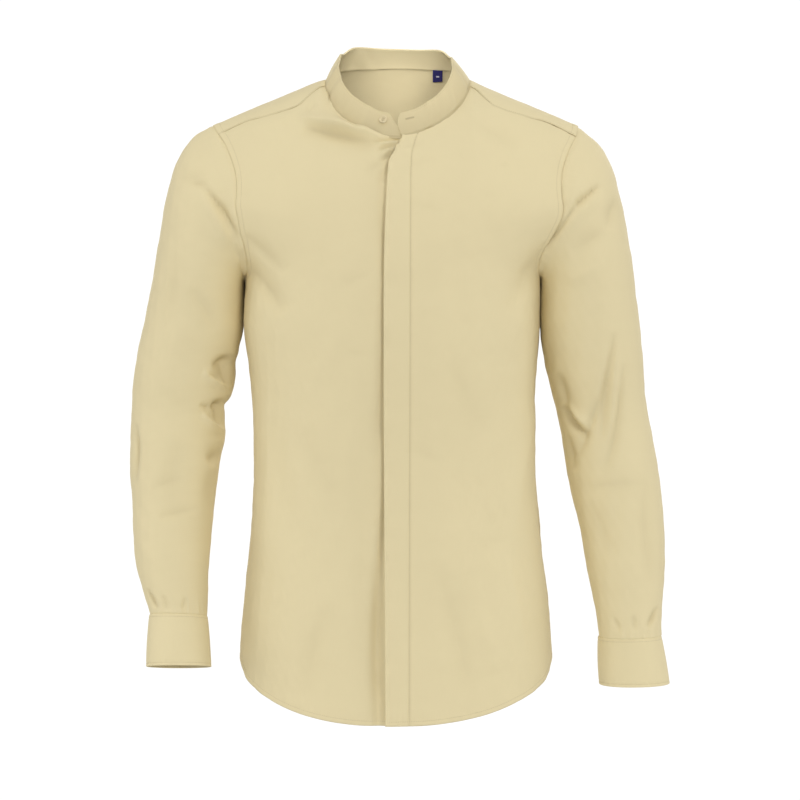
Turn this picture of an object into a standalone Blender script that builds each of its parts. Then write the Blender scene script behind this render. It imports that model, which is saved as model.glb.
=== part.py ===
"""Mandarin collar shirt, buttoned and filled out as it is worn, hollow inside.

Frame: metres. The origin is the middle of the neck opening, level with the point where the
shoulder line meets the collar. +X is the wearer's left, -Y the wearer's front, +Z up.

How the shape is made
    The body cloth follows one worn form. A place on it has two coordinates: an angle around
    the wearer (0 at the left side, -90 degrees at the front centre, 90 at the back centre) and
    a rise, the height along the cloth from the chest line. Below the chest line the form is a
    stack of rounded sections. Above it each vertical slice is a quarter ellipse that leans in
    to the shoulder ridge. Every body panel is a patch between four seam lines drawn in these
    coordinates. A sleeve is a fan of rings from the armhole to the cuff. All walls are open
    surfaces with Solidify, and neighbours keep a seam gap.
"""

from collections import namedtuple

import bpy
import numpy as np
from mathutils import Vector

COLLECTION = "mandarin_collar_shirt"

# Cloth and seams
WALL = 0.0012
STRIP_WALL = 0.0010
SEAM_GAP = 0.0005
SEAM_RISE = 0.0011          # the same gap as a step of rise on the leaning cloth
CLEAR = 0.0004

# Worn form, chest line and shoulders
CHEST_HEIGHT = -0.238
ROUND_OVER = 0.232          # metres of rise for each radian of lean over the shoulder
RIDGE_RISE = ROUND_OVER * np.pi / 2
SHOULDER_WIDENING = 0.052
WIDENING_RISE = 0.105
SHOULDER_CENTRE = -0.0006

TorsoRow = namedtuple("TorsoRow", "height centre half_width front back roundness")
TORSO = (
    TorsoRow(-0.800, 0.0008, 0.1920, 0.124, 0.124, 2.35),
    TorsoRow(-0.690, 0.0006, 0.1868, 0.122, 0.120, 2.40),
    TorsoRow(-0.640, 0.0000, 0.1832, 0.121, 0.116, 2.40),
    TorsoRow(-0.560, -0.0006, 0.1750, 0.119, 0.108, 2.40),
    TorsoRow(-0.500, -0.0012, 0.1703, 0.118, 0.102, 2.40),
    TorsoRow(-0.440, -0.0024, 0.1680, 0.119, 0.099, 2.40),
    TorsoRow(-0.380, -0.0030, 0.1688, 0.123, 0.102, 2.40),
    TorsoRow(-0.340, -0.0036, 0.1725, 0.126, 0.107, 2.40),
    TorsoRow(-0.300, -0.0050, 0.1765, 0.129, 0.113, 2.40),
    TorsoRow(CHEST_HEIGHT, -0.0040, 0.1765, 0.130, 0.120, 2.40),
)

# Shoulder ridge: a sloping line each side, dipping to the throat and rising to the nape
RIDGE_CENTRE = -0.0018
RIDGE_REACH = 0.0900
RIDGE_SLOPE = 0.418
THROAT_HEIGHT = -0.031
THROAT_CURVE = 3.9
NAPE_RISE = 0.056
RIDGE_SOFTNESS = 0.006
RIDGE_BLEND = np.radians([72.0, 108.0])   # lean at which front turns into back

# Neck seam
NECK_CENTRE = 0.0024
NECK_HALF_WIDTH = 0.0864
NECK_SIDE_HEIGHT = -0.001
NECK_DROP = 0.0715
NECK_BACK_DEPTH = 0.055
NECK_ROUND_LEFT = 1.75
NECK_ROUND_RIGHT = 2.05
NECK_ROUND_BACK = 2.2

# Armhole, as angles from the side line of the body
ArmholeRow = namedtuple("ArmholeRow", "rise front_left front_right back")
ARMHOLE = (
    ArmholeRow(0.000, 0.0, 0.0, 0.0),
    ArmholeRow(0.006, 10.0, 10.0, 10.0),
    ArmholeRow(0.020, 18.0, 19.0, 18.0),
    ArmholeRow(0.040, 24.0, 27.0, 24.0),
    ArmholeRow(0.062, 28.5, 33.0, 27.5),
    ArmholeRow(0.085, 31.5, 37.0, 29.0),
    ArmholeRow(0.110, 33.5, 38.0, 29.5),
    ArmholeRow(0.140, 34.0, 38.0, 29.0),
    ArmholeRow(0.175, 32.0, 35.5, 28.0),
    ArmholeRow(0.205, 29.0, 32.5, 26.5),
    ArmholeRow(0.235, 25.0, 29.0, 24.5),
    ArmholeRow(0.285, 20.0, 22.5, 21.0),
    ArmholeRow(RIDGE_RISE, 17.6, 17.6, 17.6),
)

# Yoke seams, by distance from the middle, and the rise at which they meet the armhole
SeamRow = namedtuple("SeamRow", "reach height")
YOKE_FRONT = (
    SeamRow(0.108, -0.0275),
    SeamRow(0.123, -0.0375),
    SeamRow(0.157, -0.0475),
    SeamRow(0.180, -0.0525),
)
YOKE_BACK_HEIGHT = -0.080
YOKE_CORNER_HEIGHT = -0.009
YOKE_END_RISE = 0.268
YOKE_BACK_END_RISE = 0.245

# Shirt-tail hem: height at the centre, and the share of the rise by share of the half width
HemRow = namedtuple("HemRow", "share lift")
HEM_CURVE = (
    HemRow(0.00, 0.000),
    HemRow(0.25, 0.025),
    HemRow(0.45, 0.100),
    HemRow(0.62, 0.215),
    HemRow(0.76, 0.365),
    HemRow(0.88, 0.550),
    HemRow(0.96, 0.760),
    HemRow(1.00, 1.000),
)
HEM_FRONT = -0.761
HEM_BACK = -0.780
HEM_SIDE = -0.690

# Front edges, by height: where the upper layer's folded edge runs
EdgeRow = namedtuple("EdgeRow", "height across")
FLY_EDGE = (
    EdgeRow(-0.770, -0.0122),
    EdgeRow(-0.560, -0.0134),
    EdgeRow(-0.330, -0.0142),
    EdgeRow(-0.209, -0.0136),
    EdgeRow(-0.150, -0.0116),
    EdgeRow(-0.120, -0.0100),
    EdgeRow(-0.104, -0.0080),
    EdgeRow(-0.092, -0.0030),
    EdgeRow(-0.082, 0.0028),
    EdgeRow(-0.074, 0.0066),
    EdgeRow(-0.060, 0.0060),
)
FLY_WIDTH = 0.032
FLY_STACK = 0.0027          # the upper front stands this far out, the under front as far in
NECK_STACK = 0.38           # share of that left at the neck seam
STACK_TOP = -0.078
STACK_FADE = 0.022
UNDERLAP = 0.024            # the under front's own edge, left of the middle
UNDERLAP_TOP = -0.0750
FLY_FADE_LEFT = 0.045
FLY_FADE_START = 0.020
FLY_FADE_RIGHT = 0.036

# Largest folds of the body cloth: angle and height of both ends, degrees and metres
Fold = namedtuple("Fold", "angle_1 height_1 angle_2 height_2 width depth")
BODY_FOLDS = (
    Fold(-160.0, -0.215, -125.0, -0.285, 0.020, 0.0030),
    Fold(-20.0, -0.225, -48.0, -0.290, 0.020, 0.0026),
    Fold(-100.0, -0.430, -97.0, -0.740, 0.016, 0.0030),
    Fold(-38.0, -0.420, -62.0, -0.660, 0.026, 0.0028),
    Fold(-150.0, -0.400, -128.0, -0.560, 0.026, 0.0024),
    Fold(150.0, -0.300, 120.0, -0.420, 0.028, 0.0030),
    Fold(32.0, -0.310, 62.0, -0.430, 0.028, 0.0030),
    Fold(75.0, -0.420, 68.0, -0.660, 0.030, 0.0034),
    Fold(108.0, -0.430, 114.0, -0.680, 0.030, 0.0030),
)
FOLD_TAPER = 0.8

# Sleeves: outer and inner point of each ring seen from the front, its middle and half depth
# front to back, and how far its front is turned up
Ring = namedtuple("Ring", "outer outer_z inner inner_z middle depth pitch")
SLEEVE_LEFT = (
    Ring(0.2345, -0.0665, 0.1742, -0.2400, 0.002, 0.0740, 0.0),
    Ring(0.2480, -0.0815, 0.1742, -0.2430, 0.002, 0.0720, 0.0),
    Ring(0.2585, -0.1030, 0.1741, -0.2470, 0.002, 0.0700, 0.0),
    Ring(0.2665, -0.1290, 0.1740, -0.2525, 0.002, 0.0680, 0.0),
    Ring(0.2735, -0.1580, 0.1738, -0.2600, 0.002, 0.0660, 0.0),
    Ring(0.2790, -0.1900, 0.1735, -0.2700, 0.002, 0.0640, 0.0),
    Ring(0.2840, -0.2220, 0.1733, -0.2830, 0.002, 0.0625, 0.0),
    Ring(0.2885, -0.2560, 0.1736, -0.2990, 0.003, 0.0610, 0.0),
    Ring(0.2935, -0.2920, 0.1752, -0.3170, 0.005, 0.0590, 0.0),
    Ring(0.2963, -0.3280, 0.1795, -0.3400, 0.008, 0.0570, 0.0),
    Ring(0.2982, -0.3620, 0.1860, -0.3680, 0.010, 0.0550, 0.0),
    Ring(0.3018, -0.3930, 0.1928, -0.3960, 0.012, 0.0530, 0.0),
    Ring(0.3074, -0.4250, 0.1986, -0.4270, 0.011, 0.0520, 0.0),
    Ring(0.3138, -0.4640, 0.2054, -0.4650, 0.009, 0.0510, 0.0),
    Ring(0.3198, -0.5040, 0.2138, -0.5040, 0.004, 0.0490, 0.0),
    Ring(0.3222, -0.5440, 0.2223, -0.5440, -0.003, 0.0465, 0.0),
    Ring(0.3215, -0.5840, 0.2290, -0.5840, -0.011, 0.0435, 0.0),
    Ring(0.3192, -0.6160, 0.2350, -0.6160, -0.017, 0.0405, 0.0),
    Ring(0.3170, -0.6420, 0.2388, -0.6430, -0.022, 0.0385, -1.0),
)
SLEEVE_RIGHT = (
    Ring(-0.2405, -0.0650, -0.1830, -0.2400, 0.002, 0.0740, 0.0),
    Ring(-0.2540, -0.0810, -0.1831, -0.2430, 0.002, 0.0720, 0.0),
    Ring(-0.2660, -0.1030, -0.1832, -0.2470, 0.002, 0.0700, 0.0),
    Ring(-0.2735, -0.1290, -0.1832, -0.2525, 0.002, 0.0680, 0.0),
    Ring(-0.2793, -0.1580, -0.1833, -0.2600, 0.002, 0.0660, 0.0),
    Ring(-0.2840, -0.1900, -0.1833, -0.2700, 0.002, 0.0640, 0.0),
    Ring(-0.2890, -0.2220, -0.1833, -0.2830, 0.002, 0.0625, 0.0),
    Ring(-0.2945, -0.2560, -0.1842, -0.2990, 0.003, 0.0610, 0.0),
    Ring(-0.3022, -0.2920, -0.1880, -0.3170, 0.005, 0.0590, 0.0),
    Ring(-0.3105, -0.3260, -0.1910, -0.3360, 0.008, 0.0575, 0.0),
    Ring(-0.3152, -0.3600, -0.1945, -0.3640, 0.010, 0.0560, 0.0),
    Ring(-0.3172, -0.3920, -0.2050, -0.3940, 0.012, 0.0540, 0.0),
    Ring(-0.3194, -0.4250, -0.2066, -0.4260, 0.009, 0.0530, 0.0),
    Ring(-0.3200, -0.4620, -0.2118, -0.4620, 0.004, 0.0515, 1.0),
    Ring(-0.3166, -0.5020, -0.2175, -0.5020, -0.004, 0.0490, 2.0),
    Ring(-0.3140, -0.5420, -0.2213, -0.5420, -0.014, 0.0465, 4.0),
    Ring(-0.3100, -0.5780, -0.2226, -0.5780, -0.025, 0.0430, 6.0),
    Ring(-0.3030, -0.6040, -0.2232, -0.6040, -0.033, 0.0395, 7.0),
)
CUFF_LEFT = (
    Ring(0.3160, -0.6625, 0.2404, -0.6640, -0.026, 0.0365, -2.0),
    Ring(0.3190, -0.6810, 0.2406, -0.6826, -0.028, 0.0372, -2.0),
    Ring(0.3222, -0.7005, 0.2409, -0.7014, -0.031, 0.0380, -2.0),
    Ring(0.3252, -0.7186, 0.2414, -0.7200, -0.034, 0.0388, -2.0),
)
CUFF_RIGHT = (
    Ring(-0.2925, -0.6372, -0.2232, -0.6387, -0.042, 0.0350, 8.0),
    Ring(-0.2932, -0.6570, -0.2214, -0.6576, -0.048, 0.0360, 8.0),
    Ring(-0.2940, -0.6770, -0.2196, -0.6776, -0.054, 0.0368, 8.0),
    Ring(-0.2946, -0.6974, -0.2176, -0.6974, -0.060, 0.0375, 8.0),
)
RING_ROUNDNESS = 2.15
ARMHOLE_STANDOFF = 0.0015
ARMHOLE_FADE_RINGS = 6
CUFF_GAP = 0.0008
CUFF_LAP_ANGLE = np.radians(273)
CUFF_LAP = np.radians(30)
CUFF_LAP_LIFT = WALL + SEAM_GAP

# Collar band: how far its top edge rises and leans in, by share of the way round the neck
BandRow = namedtuple("BandRow", "share rise lean")
COLLAR_BAND = (
    BandRow(0.00, 0.0270, 0.0100),
    BandRow(0.10, 0.0290, 0.0110),
    BandRow(0.22, 0.0290, 0.0150),
    BandRow(0.33, 0.0275, 0.0180),
    BandRow(0.50, 0.0222, 0.0180),
    BandRow(0.67, 0.0265, 0.0225),
    BandRow(0.78, 0.0285, 0.0205),
    BandRow(0.90, 0.0290, 0.0130),
    BandRow(1.00, 0.0270, 0.0100),
)
COLLAR_END = {-1: 0.0008, 1: 0.0066}    # where each end of the band stops, across the body
COLLAR_CORNER = 0.009       # rounding of the wearer's right end of the band
COLLAR_BOW = 0.0010         # how far the band bulges between its edges
COLLAR_MIDDLE = -0.008      # where the band leans towards, front to back
COLLAR_CORNER_DROP = 0.6    # share of the band's height that the rounding takes off
COLLAR_FOOT = 0.0007        # seam gap under the band, along its slope
COLLAR_ROWS = 4

# Trims
BUTTON_RADIUS = 0.005
BUTTON_HEIGHT = 0.0022
HIDDEN_BUTTON_HEIGHT = 0.0011
BUTTON_SIDES = 14
COLLAR_BUTTON_ALONG = 0.017     # from the end of the band
COLLAR_BUTTON_UP = 0.58         # share of the band's height
FLY_BUTTONS = 6
FLY_BUTTON_ACROSS = 0.002
FLY_BUTTON_TOP = -0.130
FLY_BUTTON_BOTTOM = -0.650
LABEL_WIDTH = 0.0108
LABEL_ACROSS = 0.0517
LABEL_TOP = 0.0012
LABEL_DROP = 0.0300
LABEL_WALL = 0.0010
LABEL_CLEAR = 0.0017
LABEL_COLUMNS = 3
LABEL_ROWS = 4
PLACKET_COLUMNS = slice(15, 18)
PLACKET_RINGS = 5
FLY_BAND_TOP = -0.102
FLY_BAND_OUT = 2.0 * CLEAR + STRIP_WALL - FLY_STACK
FLY_BAND_WIDTH = 0.030
FLY_BAND_INSET = 0.0015     # from the folded edge of the upper front
FLY_BAND_BOTTOM = HEM_FRONT + 0.004

# Grid sizes
NECK_POINTS = 7
NAPE_POINTS = 7
YOKE_SEAM_POINTS = 6
YOKE_ROWS = 8
HIGH_ROWS = 9
LOW_ROWS = 14
SLEEVE_POINTS = 20
CUFF_POINTS = 27
FINE_POINTS = 60            # along a seam line before it is shared out
FIND_ROUNDS = 40
LOW_ARMHOLE = 0.2           # rise from which the yoke's ends are looked up

# Colours
CLOTH = (0.745, 0.640, 0.402, 1.0)
BUTTON = (0.735, 0.640, 0.420, 1.0)
NAVY = (0.020, 0.018, 0.110, 1.0)


def column(rows, name):
    """One named column of a table."""
    return np.array([getattr(row, name) for row in rows], float)


def smooth(known, values, at):
    """Smooth curve through a table's values, held level beyond its ends."""
    at = np.clip(at, known[0], known[-1])
    slopes = np.gradient(values, known)
    left = np.clip(np.searchsorted(known, at) - 1, 0, len(known) - 2)
    span = known[left + 1] - known[left]
    t = (at - known[left]) / span
    return ((2 * t**3 - 3 * t**2 + 1) * values[left]
            + (t**3 - 2 * t**2 + t) * span * slopes[left]
            + (3 * t**2 - 2 * t**3) * values[left + 1]
            + (t**3 - t**2) * span * slopes[left + 1])


def ease(t):
    """0 to 1 with level ends."""
    t = np.clip(t, 0.0, 1.0)
    return t * t * (3.0 - 2.0 * t)


def power(value, exponent):
    """Signed power, for the rounded sections."""
    return np.sign(value) * np.abs(value) ** exponent


# ---------------------------------------------------------------------------- worn form

def section(rise):
    """Level, centre, half width, front and back depth and roundness of the form."""
    level = CHEST_HEIGHT + np.minimum(rise, 0.0)
    heights = column(TORSO, "height")
    names = ("centre", "half_width", "front", "back", "roundness")
    centre, half, front, back, roundness = (
        smooth(heights, column(TORSO, name), level) for name in names)
    widening = ease(rise / WIDENING_RISE)
    centre = centre + (SHOULDER_CENTRE - TORSO[-1].centre) * widening
    return level, centre, half + SHOULDER_WIDENING * widening, front, back, roundness


def ridge(x, turn):
    """Height of the shoulder ridge, where turn runs from the front to the back over it."""
    shoulder = RIDGE_SLOPE * (RIDGE_REACH - np.abs(x - RIDGE_CENTRE))
    off_neck = x - NECK_CENTRE
    throat = THROAT_HEIGHT + THROAT_CURVE * off_neck**2
    nape = NAPE_RISE * (1.0 - (off_neck / RIDGE_REACH) ** 2)
    front = 0.5 * (shoulder + throat - np.hypot(shoulder - throat, RIDGE_SOFTNESS))
    back = 0.5 * (shoulder + nape + np.hypot(shoulder - nape, RIDGE_SOFTNESS))
    share = ease((turn - RIDGE_BLEND[0]) / (RIDGE_BLEND[1] - RIDGE_BLEND[0]))
    return front * (1.0 - share) + back * share


def bare_form(angle, rise):
    """Points of the form without its folds."""
    level, centre, half, front, back, roundness = section(rise)
    across, along = np.cos(angle), np.sin(angle)
    x = centre + half * power(across, 2.0 / roundness)
    lean = np.clip(rise, 0.0, None) / ROUND_OVER
    turn = np.where(along < 0.0, lean, np.pi - lean)
    depth = np.where(along < 0.0, front, back)
    y = depth * power(along, 2.0 / roundness) * np.cos(lean)
    z = level + (ridge(x, turn) - CHEST_HEIGHT) * np.sin(lean)
    return np.stack(np.broadcast_arrays(x, y, z), -1)


def fold_depth(angle, height):
    """How far the large folds sink into the cloth at a place."""
    total = np.zeros(np.broadcast(angle, height).shape)
    radius = TORSO[-1].half_width
    for fold in BODY_FOLDS:
        start = np.array([np.radians(fold.angle_1) * radius, fold.height_1])
        end = np.array([np.radians(fold.angle_2) * radius, fold.height_2])
        way = end - start
        length = np.hypot(*way)
        east = angle * radius - start[0]
        north = height - start[1]
        t = (east * way[0] + north * way[1]) / length**2
        off = (east * way[1] - north * way[0]) / length
        inside = np.clip(t, 0.0, 1.0)
        taper = np.sin(np.pi * inside) ** FOLD_TAPER
        total = total + fold.depth * taper * np.exp(-(off / fold.width) ** 2)
    return total


def body(angle, rise, out=0.0):
    """Points of the body cloth, moved out along its normals by out."""
    step = 2e-4
    angle, rise = np.broadcast_arrays(np.asarray(angle, float), np.asarray(rise, float))
    centre = bare_form(angle, rise)
    around = bare_form(angle + step, rise) - bare_form(angle - step, rise)
    upward = bare_form(angle, rise + step) - bare_form(angle, rise - step)
    normal = np.cross(around, upward)
    normal /= np.linalg.norm(normal, axis=-1, keepdims=True)
    shift = np.asarray(out - fold_depth(angle, centre[..., 2]))
    return centre + normal * shift[..., None]


def find(x, z, back=False):
    """Angle and rise of the place on the front, or back, that is seen at x and z."""
    x, z = np.broadcast_arrays(np.asarray(x, float), np.asarray(z, float))
    lean = np.ones(x.shape)
    for _ in range(FIND_ROUNDS):
        top = ridge(x, np.pi - lean if back else lean)
        share = np.clip((z - CHEST_HEIGHT) / (top - CHEST_HEIGHT), 0.0, 1.0)
        lean = 0.5 * (lean + np.arcsin(share))
    rise = np.where(z < CHEST_HEIGHT, z - CHEST_HEIGHT, lean * ROUND_OVER)
    _, centre, half, _, _, roundness = section(rise)
    across = np.clip((x - centre) / half, -1.0, 1.0)
    angle = np.arccos(power(across, roundness / 2.0))
    return np.stack([angle if back else -angle, rise], -1)


# ---------------------------------------------------------------------------- seam lines
# Each line is an array of (angle, rise) places.

def resample(line, count, scale=(1.0, 1.0)):
    """The same line with count places, evenly spaced along it."""
    steps = np.diff(line, axis=0) * np.asarray(scale)
    along = np.concatenate([[0.0], np.cumsum(np.linalg.norm(steps, axis=1))])
    at = np.linspace(0.0, along[-1], count)
    return np.stack([np.interp(at, along, line[:, i]) for i in range(line.shape[1])], -1)


PLACE_SCALE = (0.18, 1.0)   # metres for each radian, and for each metre of rise


def beside(line, distance):
    """The line moved sideways, to the left of its direction."""
    scaled = line * PLACE_SCALE
    way = np.gradient(scaled, axis=0)
    way /= np.linalg.norm(way, axis=1, keepdims=True)
    left = np.stack([-way[:, 1], way[:, 0]], -1)
    return (scaled + distance * left) / PLACE_SCALE


def armhole(side, part):
    """Armhole line from the underarm up to the shoulder ridge, side +1 left or -1 right."""
    names = {("front", 1): "front_left", ("front", -1): "front_right"}
    name = names.get((part, side), "back")
    rises = RIDGE_RISE * np.linspace(0.0, 1.0, 2 * FINE_POINTS) ** 1.4
    turn = np.radians(smooth(column(ARMHOLE, "rise"), column(ARMHOLE, name), rises))
    angle = turn if side > 0 else np.pi - turn
    return np.stack([-angle if part == "front" else angle, rises], -1)


def armhole_between(side, part, low, high, count):
    """Part of the armhole line between two rises."""
    line = armhole(side, part)
    rises = np.linspace(low, high, FINE_POINTS)
    angle = np.interp(rises, line[:, 1], line[:, 0])
    return resample(np.stack([angle, rises], -1), count, PLACE_SCALE)


def neck_front(side, start, count=FINE_POINTS):
    """Neck seam from near the front centre, at x = start, up to the yoke seam."""
    roundness = NECK_ROUND_LEFT if side > 0 else NECK_ROUND_RIGHT
    off = (start - NECK_CENTRE) * side / NECK_HALF_WIDTH
    first = np.arcsin(power(off, roundness / 2.0))
    depth_share = (NECK_SIDE_HEIGHT - YOKE_CORNER_HEIGHT) / NECK_DROP
    last = np.arccos(depth_share ** (roundness / 2.0))
    swing = np.linspace(first, last, count)
    x = NECK_CENTRE + side * NECK_HALF_WIDTH * power(np.sin(swing), 2.0 / roundness)
    z = NECK_SIDE_HEIGHT - NECK_DROP * np.cos(swing) ** (2.0 / roundness)
    return find(x, z)


def neck_back(side, count=FINE_POINTS):
    """Neck seam from the yoke seam's corner over the shoulder to the back centre."""
    corner = neck_front(side, NECK_CENTRE)[-1]
    swing = np.linspace(0.0, np.pi / 2, count)
    x = NECK_CENTRE + side * NECK_HALF_WIDTH * np.cos(swing) ** (2.0 / NECK_ROUND_BACK)
    y = NECK_BACK_DEPTH * np.sin(swing) ** (2.0 / NECK_ROUND_BACK)
    _, centre, half, _, back, roundness = section(np.full(x.shape, RIDGE_RISE))
    across = np.clip((x - centre) / half, -1.0, 1.0)
    angle = np.arccos(power(across, roundness / 2.0))
    reach = back * np.sin(angle) ** (2.0 / roundness)
    rise = np.arccos(np.clip(y / reach, 0.0, 1.0)) * ROUND_OVER
    over = np.stack([angle, 2.0 * RIDGE_RISE - rise], -1)
    start = np.array([[abs(corner[0]), corner[1]]])
    return np.concatenate([start, over])


def yoke_front(side):
    """Front yoke seam from the neck to the armhole."""
    corner = neck_front(side, NECK_CENTRE)[-1:]
    reach, height = column(YOKE_FRONT, "reach"), column(YOKE_FRONT, "height")
    middle = find(side * reach, height)
    end = armhole_between(side, "front", LOW_ARMHOLE, YOKE_END_RISE, FINE_POINTS)[-1:]
    rough = np.concatenate([corner, middle, end])
    key = np.arange(len(rough), dtype=float)
    fine = np.linspace(0.0, key[-1], FINE_POINTS)
    return np.stack([smooth(key, rough[:, i], fine) for i in range(2)], -1)


def yoke_back(side, count=FINE_POINTS):
    """Back yoke seam from the back centre to the armhole."""
    end = armhole_between(side, "back", LOW_ARMHOLE, YOKE_BACK_END_RISE, FINE_POINTS)[-1]
    end_point = bare_form(end[0], end[1])
    share = np.linspace(0.0, 1.0, count)
    height = YOKE_BACK_HEIGHT + (end_point[2] - YOKE_BACK_HEIGHT) * share**2
    line = find(end_point[0] * share, height, back=True)
    line[-1] = end
    return line


def hem_rise(angle, lowest):
    """Rise of the hem at an angle."""
    share = np.abs(np.cos(angle)) ** (2.0 / TORSO[1].roundness)
    lift = smooth(column(HEM_CURVE, "share"), column(HEM_CURVE, "lift"), share)
    return lowest + (HEM_SIDE - lowest) * lift - CHEST_HEIGHT


# ---------------------------------------------------------------------------- patches

def coons(bottom, top, left, right):
    """Grid of places between four lines that share their corners."""
    u = np.linspace(0.0, 1.0, len(bottom))[None, :, None]
    v = np.linspace(0.0, 1.0, len(left))[:, None, None]
    corners = ((1 - v) * (1 - u) * bottom[0] + (1 - v) * u * bottom[-1]
               + v * (1 - u) * top[0] + v * u * top[-1])
    return ((1 - v) * bottom[None] + v * top[None]
            + (1 - u) * left[:, None] + u * right[:, None] - corners)


def facets(grid, closed, flip):
    """Triangles of a grid, each cell split along the diagonal that stands out further."""
    number = np.arange(grid.shape[0] * grid.shape[1]).reshape(grid.shape[:2])
    if closed:
        number = np.concatenate([number, number[:, :1]], axis=1)
    a, b, c, d = number[:-1, :-1], number[:-1, 1:], number[1:, 1:], number[1:, :-1]
    points = grid.reshape(-1, 3)
    normal = np.cross(points[c] - points[a], points[d] - points[b])
    across = points[a] + points[c] - points[b] - points[d]
    stands = ((normal * across).sum(axis=-1) > 0.0) != flip
    split = stands[..., None]
    first = np.where(split, np.stack([a, b, c], -1), np.stack([a, b, d], -1))
    second = np.where(split, np.stack([a, c, d], -1), np.stack([b, c, d], -1))
    faces = np.stack([first, second], axis=2).reshape(-1, 3)
    return faces[:, ::-1] if flip else faces


def new_object(name, points, faces, material):
    """Mesh object from points and faces, in the shirt's collection."""
    mesh = bpy.data.meshes.new(name)
    mesh.from_pydata(points.tolist(), [], faces.tolist())
    mesh.validate()
    mesh.shade_smooth()
    mesh.materials.append(material)
    item = bpy.data.objects.new(name, mesh)
    bpy.data.collections[COLLECTION].objects.link(item)
    return item


def cloth(name, grid, material, wall=WALL, closed=False, flip=False):
    """Cloth wall on a grid of points; its outer face is the grid."""
    item = new_object(name, grid.reshape(-1, 3), facets(grid, closed, flip), material)
    shell = item.modifiers.new("wall", "SOLIDIFY")
    shell.thickness = wall
    shell.offset = -1.0
    shell.use_rim = True
    shell.use_quality_normals = True
    return item


def paint(name, color, roughness):
    """Principled material."""
    material = bpy.data.materials.new(name)
    material.use_nodes = True
    shader = material.node_tree.nodes["Principled BSDF"]
    shader.inputs["Base Color"].default_value = color
    shader.inputs["Roughness"].default_value = roughness
    shader.inputs["Metallic"].default_value = 0.0
    return material


# ---------------------------------------------------------------------------- body pieces

SIDE_GAP_ANGLE = 9.0e-4     # half of the side seam's gap, as an angle at the side line


def fly_lift(x, z):
    """Share of the fly stack: whole over the fly, fading out on both sides and at the neck."""
    left = 1.0 - ease((x - FLY_WIDTH) / FLY_FADE_LEFT)
    right = 1.0 - ease((-x - FLY_FADE_START) / FLY_FADE_RIGHT)
    down = ease((STACK_TOP - z) / STACK_FADE)
    return left * right * (NECK_STACK + (1.0 - NECK_STACK) * down)


def front_cloth(places, side):
    """Points of a front panel: the left one stands out over the fly, the right one sinks."""
    bare = body(places[..., 0], places[..., 1])
    lift = side * FLY_STACK * fly_lift(bare[..., 0], bare[..., 2])
    return body(places[..., 0], places[..., 1], lift)


def chest_line(start, end, count):
    """Places along the chest line."""
    return np.stack([np.linspace(start, end, count), np.zeros(count)], -1)


def drop_rows(line, lowest, rows):
    """Grid of places from the hem up to a line at the chest, same angle in each column."""
    share = np.linspace(0.0, 1.0, rows)[:, None]
    angle = np.broadcast_to(line[:, 0], (rows, len(line)))
    bottom = hem_rise(line[:, 0], lowest)
    return np.stack([angle, bottom * (1.0 - share)], -1)


def neck_places(side):
    """Places on the front neck seam that the front panel and the collar band share."""
    return resample(neck_front(side, COLLAR_END[side]), NECK_POINTS, PLACE_SCALE)


def nape_places(side):
    """Places on the back neck seam that the yoke and the collar band share."""
    return resample(neck_back(side), NAPE_POINTS, PLACE_SCALE)


def yoke_seam_places(side):
    """Places on the front yoke seam that the front panel and the yoke share."""
    return resample(yoke_front(side), YOKE_SEAM_POINTS, PLACE_SCALE)


def front_places(side, edge_at, top):
    """Grid of places of one front panel, from its centre edge to the side and armhole."""
    cols = len(top)
    side_angle = -SIDE_GAP_ANGLE if side > 0 else -np.pi + SIDE_GAP_ANGLE
    hole = armhole_between(side, "front", 0.0, YOKE_END_RISE, HIGH_ROWS)
    hole[0, 0] = side_angle
    top[-1] = hole[-1]
    heights = np.linspace(CHEST_HEIGHT, body(*top[0])[2], HIGH_ROWS)
    edge = find(edge_at(heights), heights)
    edge[-1] = top[0]
    bottom = chest_line(edge[0, 0], side_angle, cols)
    high = coons(bottom, top, edge, hole)
    low = drop_rows(bottom, HEM_FRONT, LOW_ROWS)
    drop = body(low[:, 0, 0], low[:, 0, 1])[..., 2]
    wanted = find(edge_at(drop), drop)[:, 0]
    fade = np.linspace(1.0, 0.0, cols)[None, :]
    low[..., 0] += (wanted - low[:, 0, 0])[:, None] * fade
    return np.concatenate([low[:-1], high])


def fly_edge(height):
    """Where the upper front's folded edge runs at a height."""
    return smooth(column(FLY_EDGE, "height"), column(FLY_EDGE, "across"), height)


def build_fronts(material):
    """Left front over right front, with the hidden band that carries the buttonholes."""
    top = np.concatenate([neck_places(1)[:-1], yoke_seam_places(1)])
    left = front_places(1, fly_edge, top)
    cloth("front_left", front_cloth(left, 1), material)

    start = find(UNDERLAP, UNDERLAP_TOP)[None]
    top = np.concatenate([start, neck_places(-1)[:-1], yoke_seam_places(-1)])
    right = front_places(-1, lambda height: np.full(np.shape(height), UNDERLAP), top)
    cloth("front_right", front_cloth(right, -1), material, flip=True)

    levels = body(left[:, 0, 0], left[:, 0, 1])[:, 2]
    levels = levels[(levels > FLY_BAND_BOTTOM) & (levels < FLY_BAND_TOP)]
    heights = np.concatenate([[FLY_BAND_BOTTOM], levels, [FLY_BAND_TOP]])
    start = fly_edge(heights) + FLY_BAND_INSET
    across = start[:, None] + np.linspace(0.0, FLY_BAND_WIDTH, 3)[None, :]
    where = find(across, np.broadcast_to(heights[:, None], across.shape))
    grid = body(where[..., 0], where[..., 1], FLY_BAND_OUT)
    cloth("fly_band", grid, material, wall=STRIP_WALL)


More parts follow.
